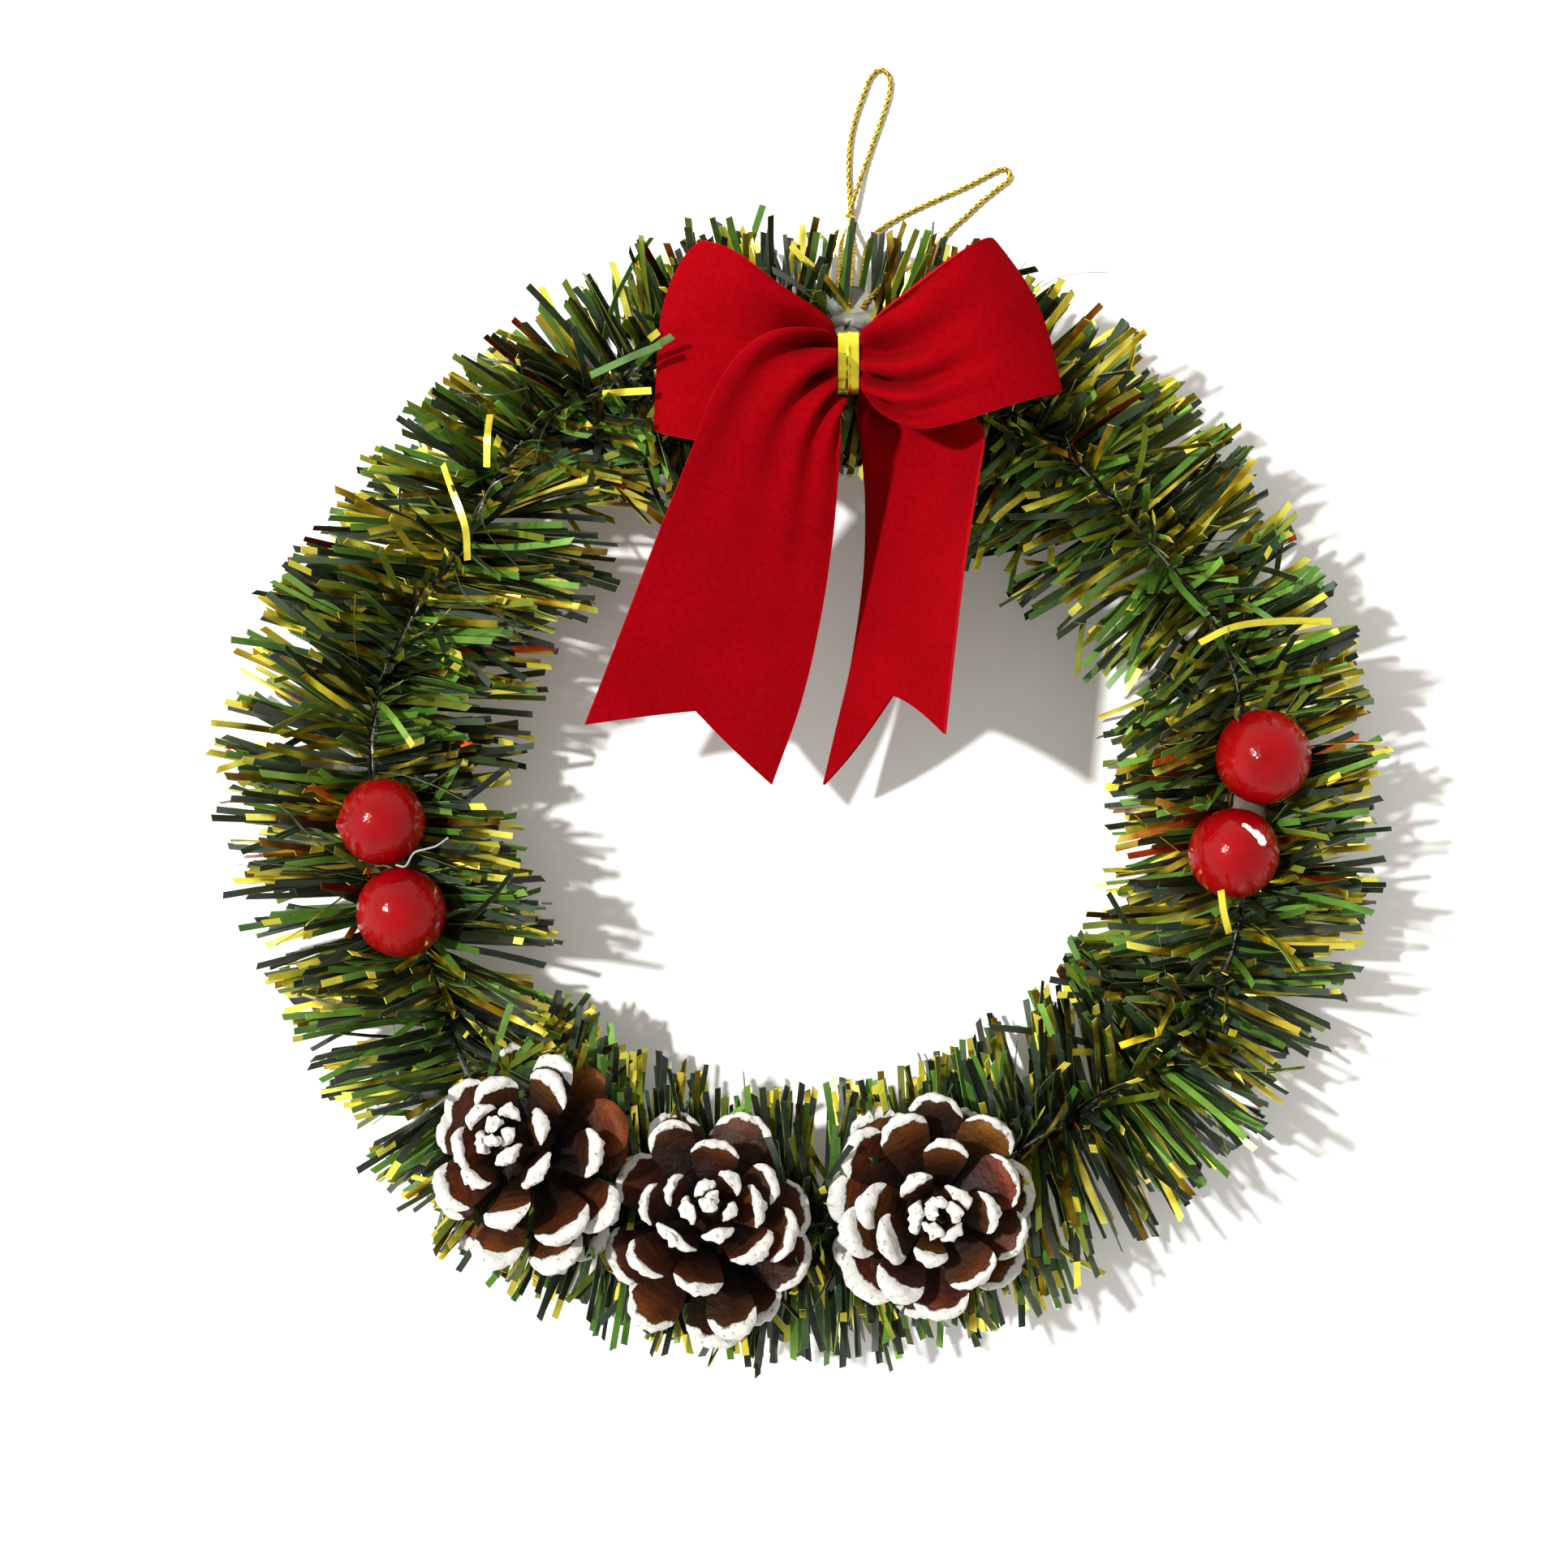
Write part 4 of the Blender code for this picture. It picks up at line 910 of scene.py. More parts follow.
def twist_tie(material):
    """The flat foil tie, with the ridge of its wire down its middle."""
    profile = []
    for i in range(TIE_STEPS + 1):
        t = -TIE_HALF_WIDTH + 2 * TIE_HALF_WIDTH * i / TIE_STEPS
        profile.append((t, TIE_FACE + TIE_RIDGE * math.exp(-((t / 0.30) ** 2))))
    profile += [(TIE_HALF_WIDTH, 0.0), (-TIE_HALF_WIDTH, 0.0)]
    points = []
    for k in range(TIE_SIDES):
        turn = math.tau * k / TIE_SIDES
        for t, rise in profile:
            crinkle = 0.03 * noise.noise(Vector((t * 0.5, k * 0.25, 3.0))) if rise else 0.0
            y = (KNOT_RADII[1] + TIE_GAP + rise + crinkle) * math.cos(turn)
            z = (KNOT_RADII[2] + TIE_GAP + rise + crinkle) * math.sin(turn)
            points.append(PINCH + Vector((t, y, z)))
    size = len(profile)
    faces = []
    for k in range(TIE_SIDES):
        here = k * size
        there = (k + 1) % TIE_SIDES * size
        for i in range(size):
            ahead = (i + 1) % size
            faces.append((here + i, here + ahead, there + ahead, there + i))
    shape = Shape()
    # Painted shade: the value rises on the tie's side nearer the tails, away from the light, where the
    # foil is painted browner
    shape.skin(points, faces, [max(0.0, (PINCH.y - 1.5 - point.y) / 4.5) for point in points])
    return shape.piece("bow_tie_band", material, "tie_gold", ["bow_twist_tie"], sharp=50)


# Berries

# Name, middle, radius
BERRIES = (
    ("berry_left_upper", (-77.9, -6.9, 30.6), 8.2),
    ("berry_left_lower", (-74.4, -23.8, 29.8), 8.5),
    ("berry_right_upper", (86.5, 5.2, 30.6), 9.0),
    ("berry_right_lower", (81.1, -12.8, 29.8), 8.6),
)
CHIPPED_BERRY = "berry_right_lower"
CHIP_ENDS = (Vector((0.14, 0.62, 0.77)), Vector((0.50, 0.30, 0.81)))
CHIP_HALF_WIDTH = 0.10
NUBBED_BERRY = "berry_left_upper"
NUB_WAY = Vector((-0.97, -0.05, 0.24))
NUB_RISE = 0.07


def from_segment(point, first, second):
    """Distance from a point to a segment, and how far along the segment that is."""
    span = second - first
    t = max(0.0, min(1.0, (point - first).dot(span) / span.length_squared))
    return (point - first - span * t).length, t


def chip_value(way):
    """How far inside the chip this way from a berry's middle is: 0.5 at the chip's rim."""
    away, along = from_segment(way, *CHIP_ENDS)
    ragged = CHIP_HALF_WIDTH * (0.7 + 0.5 * along) + 0.05 * noise.noise(way * 14)
    return max(0.0, 1.0 - 0.5 * away / ragged)


def berry(name, centre, radius, material):
    """A slightly lumpy lacquered ball. One has a nub, and one a chip."""
    centre = Vector(centre)
    ways, faces = ball(5)
    points = []
    for way in ways:
        lumps = noise.noise(way * 1.7 + centre) * 0.016
        lumps += noise.noise(way * 6 + centre) * 0.004
        if name == NUBBED_BERRY:
            lumps += NUB_RISE * math.exp(-((way - NUB_WAY).length / 0.12) ** 2)
        points.append(centre + way * radius * (0.99 + lumps))
    shape = Shape()
    shape.skin(points, faces, [chip_value(way) if name == CHIPPED_BERRY else 0.0 for way in ways])
    return shape.piece(name + "_ball", material, "berry_red", [name], sharp=80)


# Pine cones

# Name, middle where it is widest, lean in X and Y, size, turn of the first scale
CONES = (
    ("pine_cone_left", (-50.3, -69.0, 33.0), (-0.30, 0.42), 1.0, 0.0),
    ("pine_cone_middle", (-16.8, -81.4, 33.0), (0.03, 0.42), 1.0, 0.35),
    ("pine_cone_right", (24.5, -78.8, 32.0), (0.04, 0.04), 1.03, 0.7),
)
CONE_WIDEST_HEIGHT = 11.0
CONE_SCALES = 33
SCALE_CROWDING = 0.88
CONE_CORE = ((0.0, 4.8), (7.0, 6.4), (16.0, 5.0), (24.0, 2.0))
# A scale's place up the cone: share of the way, height of its root, its length from the
# axis, its rise in degrees, its width
SCALE_STATIONS = (
    (0.0, 3.2, 17.4, -6.0, 11.0),
    (0.15, 4.6, 19.0, 2.0, 11.4),
    (0.38, 7.0, 20.0, 12.0, 11.4),
    (0.58, 11.0, 17.4, 26.0, 10.4),
    (0.76, 15.0, 12.6, 42.0, 8.4),
    (0.88, 18.5, 9.0, 58.0, 5.6),
    (1.0, 21.5, 7.6, 80.0, 3.4),
)
SCALE_RINGS = (0.0, 0.16, 0.32, 0.46, 0.58, 0.68, 0.76, 0.82, 0.87, 0.91, 0.945, 0.975, 0.993, 1.0)
SCALE_SIDES = 18
SCALE_ROOT = 2.2
SCALE_THIN = 0.8
SCALE_TIP = 2.1
# Share of its length at which a scale is widest
SCALE_WIDEST = 0.72
CONE_CORE_SIDES = 16
CONE_CORE_BROWN = (0.02, 0.009, 0.005)
# How much longer the scales are towards and away from the bow than to the sides, and the
# least and most of its length that a scale may have
CONE_LONGER = {"pine_cone_left": 0.17, "pine_cone_middle": 0.19, "pine_cone_right": 0.11}
SCALE_LENGTHS = (0.94, 1.06)
# Share of the way up where a cone's top begins, and share of its length that the paint may
# cover on a scale there
CONE_TOP = 0.72
TOP_PAINT = 0.22
# Share of a scale's length beyond which the paint follows its sides too
RIM_START = 0.84
# Millimetres of paint on each cone's scales, the side where it is thickest, how much more
# it has there, and the side where the lowest scales are bare
PAINT = {
    "pine_cone_left": (2.3, (0.3, -0.9), 0.6, (0.85, 0.5)),
    "pine_cone_middle": (1.55, (-0.2, -0.9), 0.45, None),
    "pine_cone_right": (1.4, (-0.9, -0.35), 1.8, None),
}
UNPAINTED = -1.5
# Browns of the scales' faces
WOODS = (
    (0.50, (0.076, 0.0180, 0.0042)),
    (0.78, (0.122, 0.0310, 0.0060)),
    (0.88, (0.170, 0.0540, 0.0100)),
    (1.0, (0.042, 0.0130, 0.0045)),
)


def stations(table, share):
    """The row of the table at this share, between its nearest two rows."""
    for low, high in zip(table, table[1:]):
        if share <= high[0]:
            t = (share - low[0]) / (high[0] - low[0])
            return [a + (b - a) * t for a, b in zip(low[1:], high[1:])]
    return list(table[-1][1:])


def scale_half_width(x, width):
    """Half the width of a scale at this share of its length."""
    narrow = 0.30 + 0.70 * min(1.0, x / SCALE_WIDEST) ** 1.3
    if x > SCALE_WIDEST:
        narrow = math.sqrt(max(0.0, 1 - ((x - SCALE_WIDEST) / 0.285) ** 2.4))
    return max(width / 2 * narrow, 0.25)


def scale_thickness(x, width):
    """A scale's thickness at this share of its length, with a swollen and rounded tip."""
    tip = SCALE_TIP * (0.45 + 0.55 * width / 12.0)
    thick = SCALE_THIN + (tip - SCALE_THIN) * math.exp(-(((x - 0.90) / 0.11) ** 2))
    if x > 0.95:
        thick *= math.sqrt(max(0.05, 1 - ((x - 0.95) / 0.052) ** 2))
    return thick


def paint_value(x, turn, half, length, paint):
    """How far inside the paint a scale's surface is here: 0.5 at the paint's edge."""
    bare = length - SCALE_ROOT
    behind = max(0.0, RIM_START - x) * bare
    from_rim = min((1 - x) * bare, half * (1 - abs(math.cos(turn))) + 1.4 * behind)
    level = (paint - from_rim) / bare
    if math.sin(turn) < -0.2:
        level += 0.03
    return max(0.0, min(1.0, 0.5 + level * 3.2))


def cone_scale(shape, origin, axes, length, width, paint, draw):
    """One woody scale: a cupped paddle with a thick rounded tip, dipped in paint."""
    outward, across, up = axes
    cup = draw.uniform(0.03, 0.10)
    hook = draw.uniform(-0.05, 0.05)
    lopsided = draw.uniform(-0.08, 0.08)
    seed = Vector((draw.uniform(0, 50), draw.uniform(0, 50), 0))
    wood = pick(WOODS, draw.random())
    wood = [c * draw.uniform(0.75, 1.2) for c in wood]
    rings = []
    values = []
    for x in SCALE_RINGS:
        half = scale_half_width(x, width)
        thick = scale_thickness(x, width)
        reach = SCALE_ROOT + (length - SCALE_ROOT) * x
        ring = []
        for k in range(SCALE_SIDES):
            turn = math.tau * k / SCALE_SIDES
            upper = math.sin(turn)
            y = half * math.cos(turn)
            z = thick / 2 * upper * (1 - 0.35 * math.cos(turn) ** 4)
            z += cup * y * y * 0.35 * (1.2 - x) - hook * length * max(0.0, x - 0.6)
            z += 0.30 * math.exp(-((y / 1.3) ** 2)) * math.sin(math.pi * x) * (upper > 0)
            value = paint_value(x, turn, half, length, paint)
            lumps = noise.noise(seed + Vector((x * 9, y * 0.9, z)))
            coat = max(0.0, min(1.0, (value - 0.5) * 6)) * (0.45 + 1.1 * lumps)
            wave = 0.45 * noise.noise(seed + Vector((x * 2.5, y * 0.25, 7)))
            point = origin + outward * (reach + coat * 0.3 + lopsided * y)
            point += across * (y * (1 + coat * 0.05)) + up * (z + coat * upper + wave)
            ring.append(point)
            values.append(value)
        rings.append(ring)
    # Painted shade: each scale is painted darker towards its root, where it lies deep between the scales
    tints = [[c * min(1.0, 0.02 + 1.3 * x**3.4) for c in wood] for x in SCALE_RINGS]
    shape.loft(rings, tints, values)


def pine_cone(cone, material):
    """A cone of overlapping scales in a spiral round a slim core."""
    name, widest, lean, size, first = cone
    axis = Vector((*lean, 1.0)).normalized()
    base = Vector(widest) - axis * CONE_WIDEST_HEIGHT * size
    side = axis.cross(Vector((0, 1, 0))).normalized()
    front = axis.cross(side)
    draw = random.Random(name)
    shape = Shape()
    core = [circle(base + size * axis * h, side, front, size * r, CONE_CORE_SIDES) for h, r in CONE_CORE]
    shape.loft(core, [CONE_CORE_BROWN] * len(core))
    coat, heavy_side, heavy, bare_side = PAINT[name]
    heavy_way = Vector((*heavy_side, 0)).normalized()
    for k in range(CONE_SCALES):
        share = (k / (CONE_SCALES - 1)) ** SCALE_CROWDING
        height, length, rise, width = stations(SCALE_STATIONS, share)
        turn = math.tau * (k * GOLDEN_TURN + first) + draw.uniform(-0.20, 0.20)
        rise = math.radians(rise + draw.uniform(-8, 8))
        spoke = math.cos(turn) * side + math.sin(turn) * front
        outward = math.cos(rise) * spoke + math.sin(rise) * axis
        roll = Matrix.Rotation(draw.uniform(-0.22, 0.22), 3, outward)
        up = roll @ (math.cos(rise) * axis - math.sin(rise) * spoke)
        paint = coat + heavy * max(0.0, spoke.dot(heavy_way)) + draw.uniform(-0.5, 0.5)
        if bare_side and share < 0.45 and spoke.dot(Vector((*bare_side, 0)).normalized()) > 0.45:
            paint = UNPAINTED
        length *= size * (1 + CONE_LONGER[name] * spoke.y**2) * draw.uniform(*SCALE_LENGTHS)
        if share > CONE_TOP:
            paint = min(paint, TOP_PAINT * length)
        cone_scale(
            shape, base + axis * height * size, (outward, up.cross(outward), up),
            length, width * size * draw.uniform(0.82, 1.05), paint, draw,
        )
    return shape.piece(name + "_scales", material, "cone_wood", [name], sharp=60)


# Hot glue

# How high the glue may stand behind the tie, and where the cords go into it
GLUE_HIGH = 32.4
GLUE_LOW = 21.6
# Glue under the berries and cones is painted darker and browner: painted shade under and between them,
# where the half-clear glue also shows the darker foliage
SHADED_GLUE = (0.34, 0.27, 0.20)
# Room between a berry and its glue
GLUE_SEAT = 0.15


def glue_ceiling(point):
    """How high the glue behind the bow stands here: up to the tie, then down to the cords."""
    fall = smooth_step(8.5, 12.0, (point - PINCH).xy.length)
    uneven = 0.5 * noise.noise(point * 0.45)
    return GLUE_HIGH * (1 - fall) + GLUE_LOW * fall + uneven


def glue_lumps(name, angle, lumps, material):
    """Rounded lumps of set glue, flattened where something is pressed into them."""
    centre, along, out = core_frame(angle)
    behind_bow = name == "glue_behind_bow"
    ways, faces = ball(4)
    shape = Shape()
    for push, lift, radii in lumps:
        middle = centre + out * push + UP * lift
        points = []
        for way in ways:
            swell = 0.97 + 0.07 * noise.noise(way * 1.6 + middle)
            point = middle + swell * (
                along * way.x * radii[0] + out * way.y * radii[1] + UP * way.z * radii[2]
            )
            for _, ball_middle, radius in BERRIES:
                gap = point - Vector(ball_middle)
                if gap.length < radius + GLUE_SEAT:
                    point = Vector(ball_middle) + gap.normalized() * (radius + GLUE_SEAT)
            if behind_bow:
                point.z = min(point.z, glue_ceiling(point))
            points.append(point)
        shape.skin(points, faces, tints=[WHITE if behind_bow else SHADED_GLUE] * len(faces))
    return shape.piece(name + "_lumps", material, "hot_glue", [name], sharp=80)


# Tinsel

GREENS = (
    (0.40, (0.006, 0.011, 0.004)),
    (0.58, (0.020, 0.035, 0.020)),
    (0.84, (0.044, 0.110, 0.012)),
    (0.94, (0.088, 0.112, 0.009)),
    (1.0, (0.098, 0.205, 0.028)),
)
# How much paler the cut edges of a strip are
PALE_EDGE = (0.10, 0.13, 0.05)
GOLDS = (
    (0.78, (1.0, 0.88, 0.13)),
    (0.90, (0.62, 0.46, 0.05)),
    (0.94, (0.40, 0.052, 0.011)),
    (1.0, (0.22, 0.14, 0.02)),
)
TIP_GOLD = (0.56, 0.50, 0.045)
# Angle on the ring, the share of gold strips there, the share of gold ends on the others,
# and how much brighter the greens are painted there, as painted light
STRIP_MIX = (
    (0, 0.28, 0.08, 1.05), (38, 0.27, 0.07, 1.35), (60, 0.26, 0.07, 1.25), (110, 0.26, 0.07, 1.05),
    (160, 0.29, 0.07, 1.08), (200, 0.26, 0.09, 1.0), (228, 0.15, 0.15, 1.0), (270, 0.13, 0.17, 1.0),
    (310, 0.19, 0.13, 1.08), (335, 0.27, 0.08, 1.15),
)


def pick(table, chance):
    """The first entry of a table of (upper chance, entry) that this chance falls in."""
    return next(entry for limit, entry in table if chance <= limit)


def sprays():
    """Each pair of sprays as its number and the stretch of the ring that it fills."""
    found = []
    for i, pairs in enumerate(PAIRS_PER_STRETCH):
        _, spot, half, _ = GLUE_SPOTS[i]
        _, next_spot, next_half, _ = GLUE_SPOTS[(i + 1) % len(GLUE_SPOTS)]
        next_spot += 360 if next_spot < spot else 0
        first = spot + half
        pitch = (next_spot - next_half - first) / pairs
        for k in range(pairs):
            low = spot if k == 0 else first + k * pitch
            high = next_spot if k == pairs - 1 else first + (k + 1) * pitch
            found.append((len(found) + 1, low, high))
    return found


def obstacle_tree(ribbon_grids):
    """A search tree of what strips must miss: cones, berries, the tie and ribbons."""
    shape = Shape()
    for name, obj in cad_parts.items():
        if name.startswith(("pine_cone", "berry", "bow_twist")):
            points = [obj.matrix_world @ vert.co / MM for vert in obj.data.vertices]
            shape.skin(points, [face.vertices for face in obj.data.polygons])
    for grid in ribbon_grids:
        coarse = [row[::2] for row in grid[::2]]
        columns = len(coarse[0])
        faces = []
        for i in range(len(coarse) - 1):
            for a in range(i * columns, (i + 1) * columns - 1):
                faces.append((a, a + 1, a + columns + 1, a + columns))
        shape.skin([point for row in coarse for point in row], faces)
    return BVHTree.FromPolygons(shape.verts, shape.faces)


def strip_path(root, way, length, bend, floor):
    """Points along a strip that bends evenly, and lies along the table if it meets it."""
    points = []
    step = length / STRIP_STEPS
    point = root + way
    for _ in range(STRIP_STEPS + 1):
        points.append(point.copy())
        way = (way + bend / STRIP_STEPS).normalized()
        point = point + way * step
        if point.z < floor:
            point.z = floor
            way.z = max(way.z, 0.0)
            way.normalize()
    return points


def first_hit(points, tree):
    """How far along a path it first comes too near an obstacle, or None."""
    travelled = 0.0
    for i, (p, q) in enumerate(zip(points, points[1:])):
        way = q - p
        hit = tree.ray_cast(p, way.normalized(), way.length + ROOM_AHEAD)
        if hit[0] is not None:
            return travelled + hit[3]
        travelled += way.length
        if i and tree.find_nearest(q, ROOM_BESIDE)[0] is not None:
            return travelled - ROOM_AHEAD
    return None


def strip_rings(points, across, roll, twist, slant=0.0):
    """The four corners of a strip at each point of its path, and a slanted cut at its end."""
    rings = []
    last = len(points) - 1
    for i, point in enumerate(points):
        ahead = (points[min(i + 1, last)] - points[max(i - 1, 0)]).normalized()
        flat = (across - across.dot(ahead) * ahead).normalized()
        flat = Matrix.Rotation(roll + twist * i / last, 3, ahead) @ flat
        wide = flat * STRIP_WIDTH / 2
        deep = ahead.cross(flat) * STRIP_THIN / 2
        if i == last:
            wide = wide + ahead * slant / 2
        rings.append([point - wide - deep, point + wide - deep, point + wide + deep, point - wide + deep])
    return rings


def tufts(radius, wide, draw):
    """Tufts round the ring as rows: where each begins and its middle, with its own lean in
    degrees, share of full length, and lift in degrees."""
    rows = []
    pitch = math.degrees(wide / radius)
    angle = 0.0
    while angle < 360:
        span = pitch * draw.uniform(0.6, 1.5)
        longer = min(1.05, 1 + draw.gauss(-0.02, 0.09))
        rows.append((angle, angle + span / 2, draw.gauss(0, 6), longer, draw.gauss(0, 4)))
        angle += span
    return rows


def foliage(tree, green, gold):
    """All the strips of the ring, in a green and a gold piece for each pair of sprays."""
    draw = random.Random(SEED)
    stretches = sprays()
    shapes = {n: (Shape(), Shape()) for n, _, _ in stretches}
    sets = {}
    for layer, (_, _, wide) in enumerate(LAYERS):
        sets[layer, True] = tufts(RING_RADIUS + TUFT_REACH, wide, draw)
        sets[layer, False] = tufts(RING_RADIUS - TUFT_REACH, wide, draw)
    count = STRIP_COUNT
    first_angle = stretches[0][1]
    for k in range(count):
        angle = first_angle + 360 * (k + draw.random()) / count
        spray = next(n for n, _, high in stretches if angle <= high or n == len(stretches))
        strip = lay_strip(angle, sets, tree, draw)
        if strip is not None:
            add_strip(shapes[spray], strip, around(STRIP_MIX, angle), draw)
    for n, (green_shape, gold_shape) in shapes.items():
        green_shape.piece(f"green_strips_{n:02d}", green, "green_film", [f"green_tinsel_{n:02d}"])
        gold_shape.piece(f"gold_strips_{n:02d}", gold, "gold_foil", [f"gold_tinsel_{n:02d}"])


def gold_tip(path, rings, tints, tip_length, shade):
    """Ends a green strip in gold, with a clean line between the two colours."""
    step = (path[-1] - path[-2]).length
    share = max(0.1, min(0.9, 1 - tip_length / step))
    line = [a.lerp(b, share) for a, b in zip(rings[-2], rings[-1])]
    rings = rings[:-1] + [line, rings[-1]]
    return rings, tints + [tuple(c * shade for c in TIP_GOLD)]


def add_strip(shapes, strip, mixture, draw):
    """Adds a strip to a spray's green or gold shape, in a colour by chance."""
    path, across, roll, twist = strip
    # The last entry is painted light: how much brighter the greens are painted at this place on the ring
    gold_share, tip_share, bright = mixture
    rings = strip_rings(path, across, roll, twist, draw.gauss(0, 0.45))
    is_gold = draw.random() < gold_share
    seed = draw.random()
    shade = draw.uniform(0.72, 1.3)
    if is_gold:
        tints = [tuple(c * shade for c in pick(GOLDS, draw.random()))] * STRIP_STEPS
    else:
        base = pick(GREENS, draw.random())
        tints = []
        # Painted shade and light: each green is painted darker at its root, deep in the ring, and
        # brighter towards its tip, times its own tone
        for i in range(STRIP_STEPS):
            tone_and_painted_light = shade * bright * (0.55 + 0.75 * (i + 0.5) / STRIP_STEPS)
            tints.append(tuple(c * tone_and_painted_light for c in base))
        if draw.random() < tip_share:
            rings, tints = gold_tip(path, rings, tints, draw.uniform(1.8, 7.0), shade)
    shape = shapes[1 if is_gold else 0]
    first_face = len(shape.tints)
    shape.loft(rings, tints, [seed] * (len(rings) * len(rings[0])))
    if not is_gold:
        pale_edges(shape, first_face)


def pale_edges(shape, first_face):
    """Lightens the two cut edges along a strip, whose faces begin here."""
    for i in range(first_face, len(shape.tints) - 2):
        if (i - first_face) % 2:
            shape.tints[i] = tuple(c + pale for c, pale in zip(shape.tints[i], PALE_EDGE))


def over_cords(path):
    """Whether a path passes above the place where the cords come out behind the bow."""
    (x_low, x_high), (y_low, y_high) = CORD_WINDOW
    return any(x_low < p.x < x_high and y_low < p.y < y_high for p in path)


def lay_strip(angle, sets, tree, draw):
    """Path, flat direction, roll and twist of a strip from this angle, or None."""
    outer = draw.random() < OUTER_SHARE
    side = 1 if outer else -1
    centre, along, out = core_frame(angle)
    layer = min(int(draw.random() ** 0.9 * len(LAYERS)), len(LAYERS) - 1)
    low, high, _ = LAYERS[layer]
    rows = sets[layer, outer]
    tuft = bisect.bisect([row[0] for row in rows], angle % 360) - 1
    _, middle, tuft_lean, longer, lift = rows[tuft]
    shortest, longest = OUTER_LENGTH if outer else INNER_LENGTH
    length = longest - (longest - shortest) * draw.random() ** 1.05
    if outer:
        length *= 1 - LONGER_AT_LEFT * math.cos(math.radians(angle))
    lean = around(LEANS, angle)[0 if outer else 1]
    elevation = draw.uniform(low, high) + lift
    bend = draw.gauss(0, 0.10)
    roll = draw.gauss(0, 0.55)
    if draw.random() < LOOSE_SHARE:
        lean += draw.gauss(0, 24)
        elevation += draw.uniform(0, 20)
        length *= draw.uniform(0.9, 1.08)
        bend = draw.gauss(0, 0.5)
        roll = draw.uniform(-1.5, 1.5)
    else:
        gathered = (middle - angle % 360) * (1 - TUFT_GATHER) + draw.gauss(0, 0.55)
        reach = core_radius_at(angle) + side * length
        lean += tuft_lean + side * math.degrees(math.radians(gathered) * reach / length)
        length *= longer * draw.uniform(0.95, 1.02)
    if draw.random() < UPRIGHT_SHARE:
        elevation = draw.uniform(55, 88)
        lean += draw.gauss(0, 30)
        length *= draw.uniform(0.6, 0.9)
    twist = draw.gauss(0, 0.15)
    floor = draw.uniform(1.1, 3.6)
    root = centre + along * draw.uniform(-0.6, 0.6)
    flat = Matrix.Rotation(math.radians(lean), 3, "Z") @ (out * side)
    sag = draw.uniform(-0.25, 0.05) if elevation > 0 else draw.uniform(0.0, 0.2)
    for _ in range(LAYING_TRIES):
        rise = math.radians(elevation)
        way = flat * math.cos(rise) + UP * math.sin(rise)
        path = strip_path(root, way, length, flat.cross(UP) * bend + UP * sag, floor)
        hit = first_hit(path, tree)
        if hit is None:
            if over_cords(path) and draw.random() < CORD_WINDOW_SHARE:
                return None
            return within_reach(path, outer, draw), flat.cross(UP).normalized(), roll, twist
        elevation -= STEP_DOWN
        if elevation < LOWEST_RISE:
            length = min(length, hit - 1.2)
            elevation = LOWEST_RISE + 20 * draw.random()
        if length < SHORTEST_STRIP:
            return None
    return None


def within_reach(path, outer, draw):
    """The path of a strip, cut short where it would end past the ring's outline."""
    tip = path[-1]
    furthest, nearest = around(REACHES, math.degrees(math.atan2(tip.y, tip.x)))
    radius = tip.xy.length
    past = radius - furthest if outer else nearest - radius
    past += REACH_SPREAD * draw.random() ** 2
    if past <= 0:
        return path
    length = sum((b - a).length for a, b in zip(path, path[1:]))
    keep = max(LEAST_KEPT, 1 - past / length)
    return [smooth_point(path, keep * k / (len(path) - 1)) for k in range(len(path))]


# Single strips that lie on top: colour, turn about their own length at each end in
# radians, and the places that they pass through
LOOSE_STRIPS = (
    ("green", 0.2, 0.5, (
        (-30.2, 78.0, 33.0), (-28.6, 78.6, 39.5), (-26.3, 79.6, 45.5), (-23.0, 81.0, 49.0),
    )),
    ("green", 0.1, 0.1, (
        (-38.5, 75.4, 38.0), (-33.8, 76.8, 42.5), (-29.5, 78.1, 46.5), (-25.0, 79.3, 50.0),
    )),
    ("gold", 0.0, 0.2, ((-36.5, 72.4, 35.0), (-31.8, 72.2, 39.0), (-27.1, 72.0, 42.5))),
    ("gold", 0.6, -0.3, (
        (-66.0, 59.3, 35.0), (-64.2, 54.8, 38.0), (-62.4, 50.3, 39.0), (-61.4, 46.6, 38.5),
        (-61.4, 41.5, 36.0),
    )),
    ("gold", 0.1, 0.3, ((-57.2, 68.4, 36.0), (-57.5, 64.0, 38.0), (-57.7, 58.6, 37.0))),
    ("green", 0.0, 0.1, ((-10.8, 99.1, 15.0), (-9.3, 103.4, 17.0), (-6.9, 110.3, 19.0))),
    ("gold", 0.5, 0.0, (
        (74.0, 26.3, 35.0), (79.9, 29.1, 38.0), (88.3, 30.2, 37.0), (98.9, 30.4, 32.0),
    )),
    ("gold", 0.1, 0.0, ((79.6, -27.5, 34.0), (78.2, -23.6, 37.0), (77.2, -19.3, 40.0))),
)
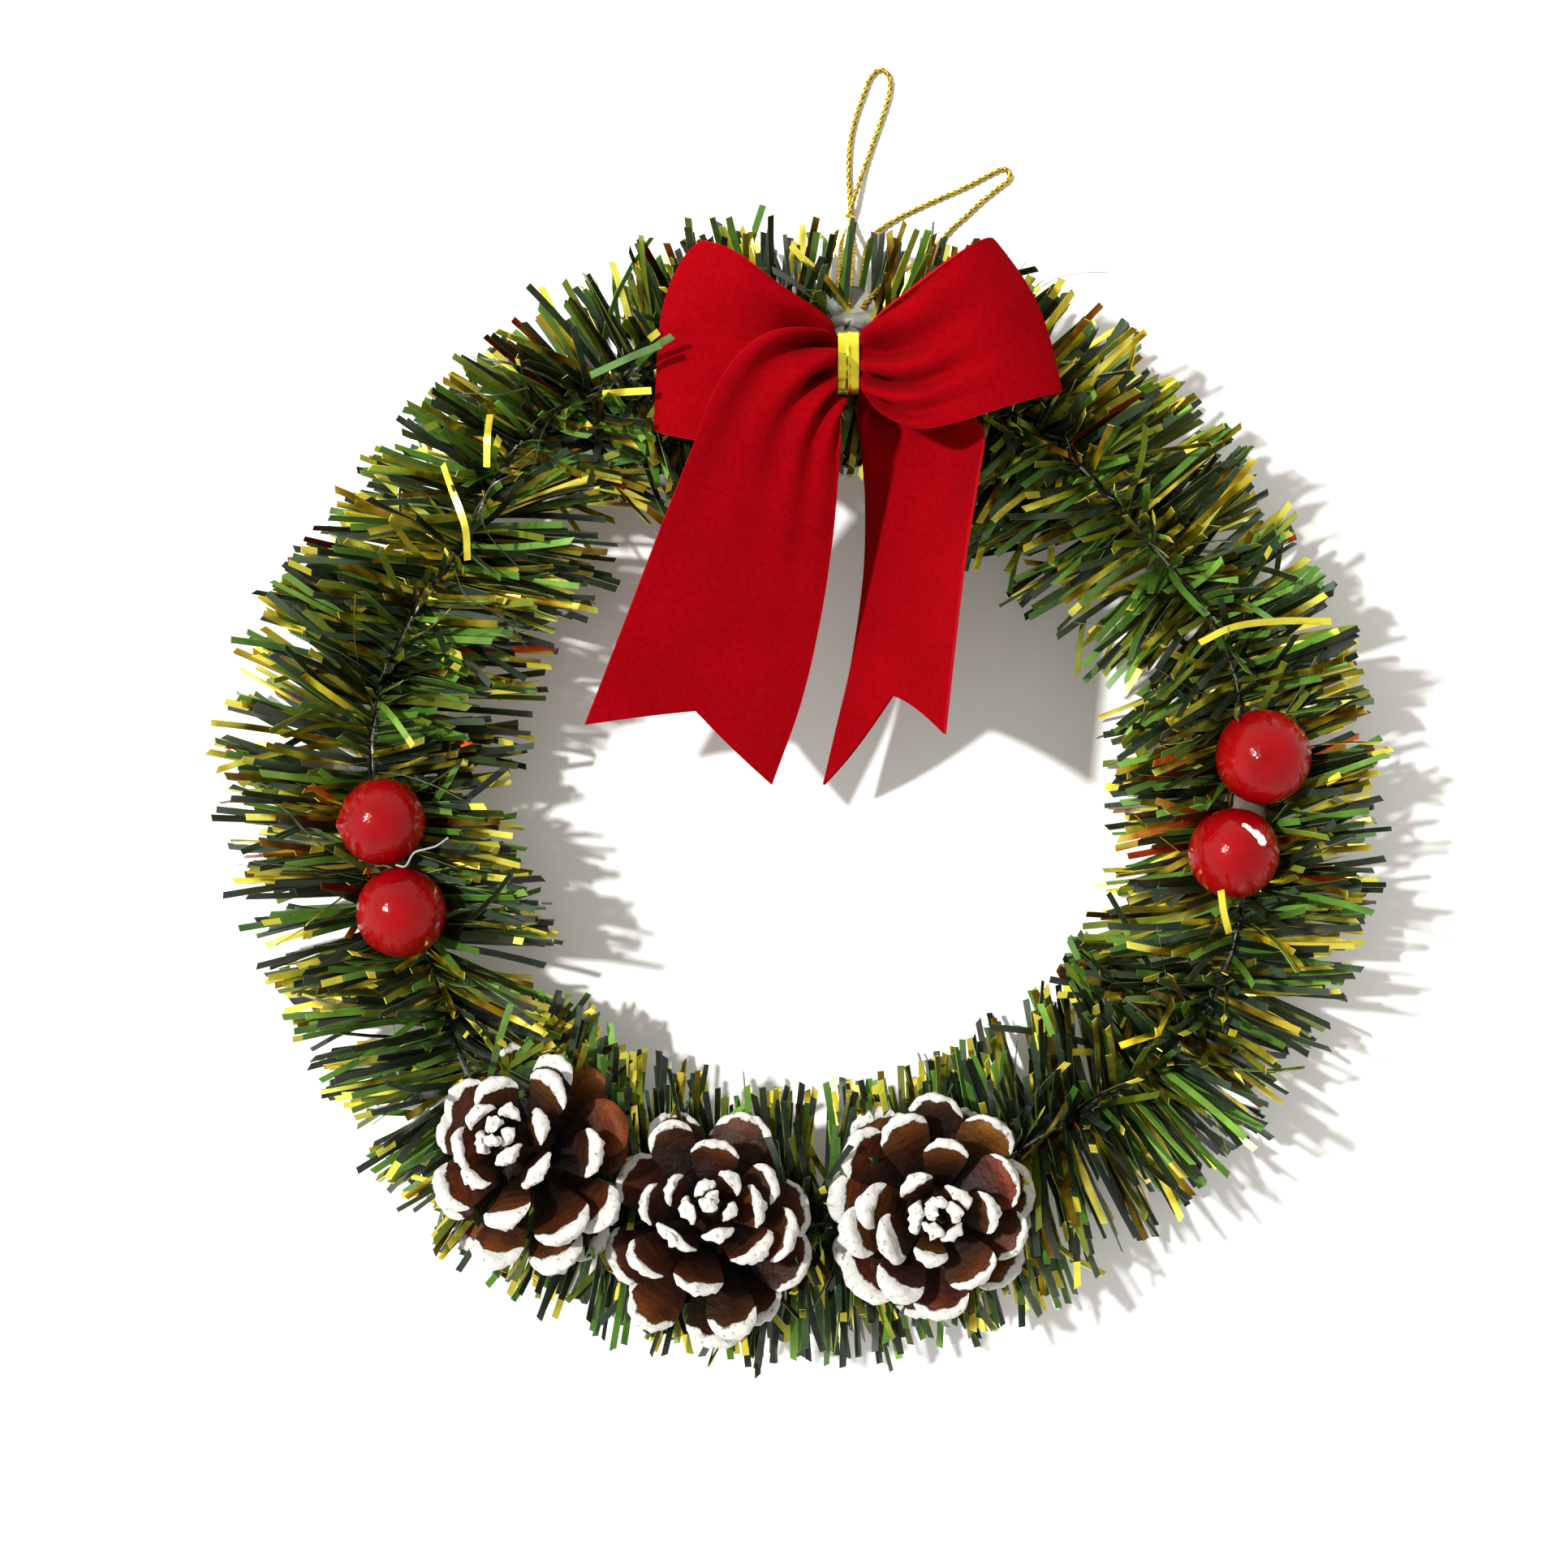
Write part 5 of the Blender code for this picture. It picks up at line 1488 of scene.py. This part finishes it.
# Fine threads: what they are of, half their width, and the places that they pass through
THREADS = (
    ("dark", 0.16, (
        (-64.8, 72.0, 36.0), (-59.7, 71.9, 39.0), (-55.2, 71.5, 40.0), (-50.1, 73.1, 38.0),
    )),
    ("dark", 0.14, (
        (-48.8, 60.3, 36.0), (-52.9, 56.9, 40.0), (-56.6, 54.7, 40.0), (-60.7, 49.0, 37.0),
    )),
    ("dark", 0.14, (
        (-51.9, 40.1, 35.0), (-57.5, 46.5, 39.0), (-58.0, 51.7, 40.0), (-56.1, 56.3, 38.0),
    )),
    ("dark", 0.16, (
        (-63.9, 40.1, 35.0), (-61.3, 34.7, 38.0), (-54.5, 30.9, 39.0), (-50.4, 25.1, 35.0),
    )),
    ("glue", 0.20, (
        (-74.4, -14.8, 37.0), (-72.4, -14.9, 39.0), (-70.8, -12.5, 40.0), (-68.7, -11.8, 40.0),
        (-66.7, -11.2, 39.5), (-64.6, -9.7, 39.0),
    )),
    ("glue", 0.08, ((45.3, 93.4, 28.0), (48.5, 94.7, 30.0), (53.0, 95.6, 30.0), (57.6, 96.0, 28.0))),
)
LOOSE_TINTS = {
    "green": (0.060, 0.150, 0.020),
    "gold": (0.95, 0.84, 0.09),
    "dark": (0.030, 0.030, 0.016),
    "glue": WHITE,
}
LOOSE_STEPS = 14
THREAD_STEPS = 24
THREAD_SIDES = 6


def loose_pieces(green, gold, glue):
    """The strips and threads that lie on top of the sprays."""
    shapes = {kind: Shape() for kind in LOOSE_TINTS}
    for kind, first_turn, last_turn, places in LOOSE_STRIPS:
        path = [smooth_point(places, i / LOOSE_STEPS) for i in range(LOOSE_STEPS + 1)]
        across = (path[-1] - path[0]).cross(UP).normalized()
        rings = strip_rings(path, across, first_turn, last_turn - first_turn)
        seed = 0.4 + 0.01 * places[0][0]
        shapes[kind].loft(rings, [LOOSE_TINTS[kind]] * len(rings), [seed] * (4 * len(rings)))
    for kind, half, places in THREADS:
        path = [smooth_point(places, i / THREAD_STEPS) for i in range(THREAD_STEPS + 1)]
        rings = [circle(p, side, up, half, THREAD_SIDES) for p, _, side, up in carried_frames(path)]
        shapes[kind].loft(rings, [LOOSE_TINTS[kind]] * len(rings))
    shapes["green"].piece("loose_green_strips", green, "green_film")
    shapes["gold"].piece("loose_gold_strips", gold, "gold_foil")
    shapes["dark"].piece("loose_dark_threads", green, "green_film")
    shapes["glue"].piece("glue_strings", glue, "hot_glue", sharp=80)


def dress_frame():
    """Finishes for the solids that stay in sight."""
    wire = steel_wire()
    for name in ("core_wire_a", "core_wire_b"):
        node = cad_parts[name]
        node.data.materials.clear()
        node.data.materials.append(wire)


place_camera()
yarn = metal_yarn()
twisted_cord("hanging_loop_straight", STRAIGHT_LOOP, yarn)
twisted_cord("hanging_loop_slanted", SLANTED_LOOP, yarn)
light_scene()
lay_table()
pile = velvet()
ribbons = ribbon_pieces(pile)
bow_knot(pile)
twist_tie(tie_foil())
lacquer = berry_lacquer()
for berry_name, berry_centre, berry_radius in BERRIES:
    berry(berry_name, berry_centre, berry_radius, lacquer)
wood = painted_wood()
for each_cone in CONES:
    pine_cone(each_cone, wood)
glue = glue_material()
for spot_name, spot_angle, _, spot_lumps in GLUE_SPOTS:
    glue_lumps(spot_name, spot_angle, spot_lumps, glue)
film = green_film()
foil = gold_foil()
foliage(obstacle_tree(ribbons), film, foil)
loose_pieces(film, foil, glue)
dress_frame()
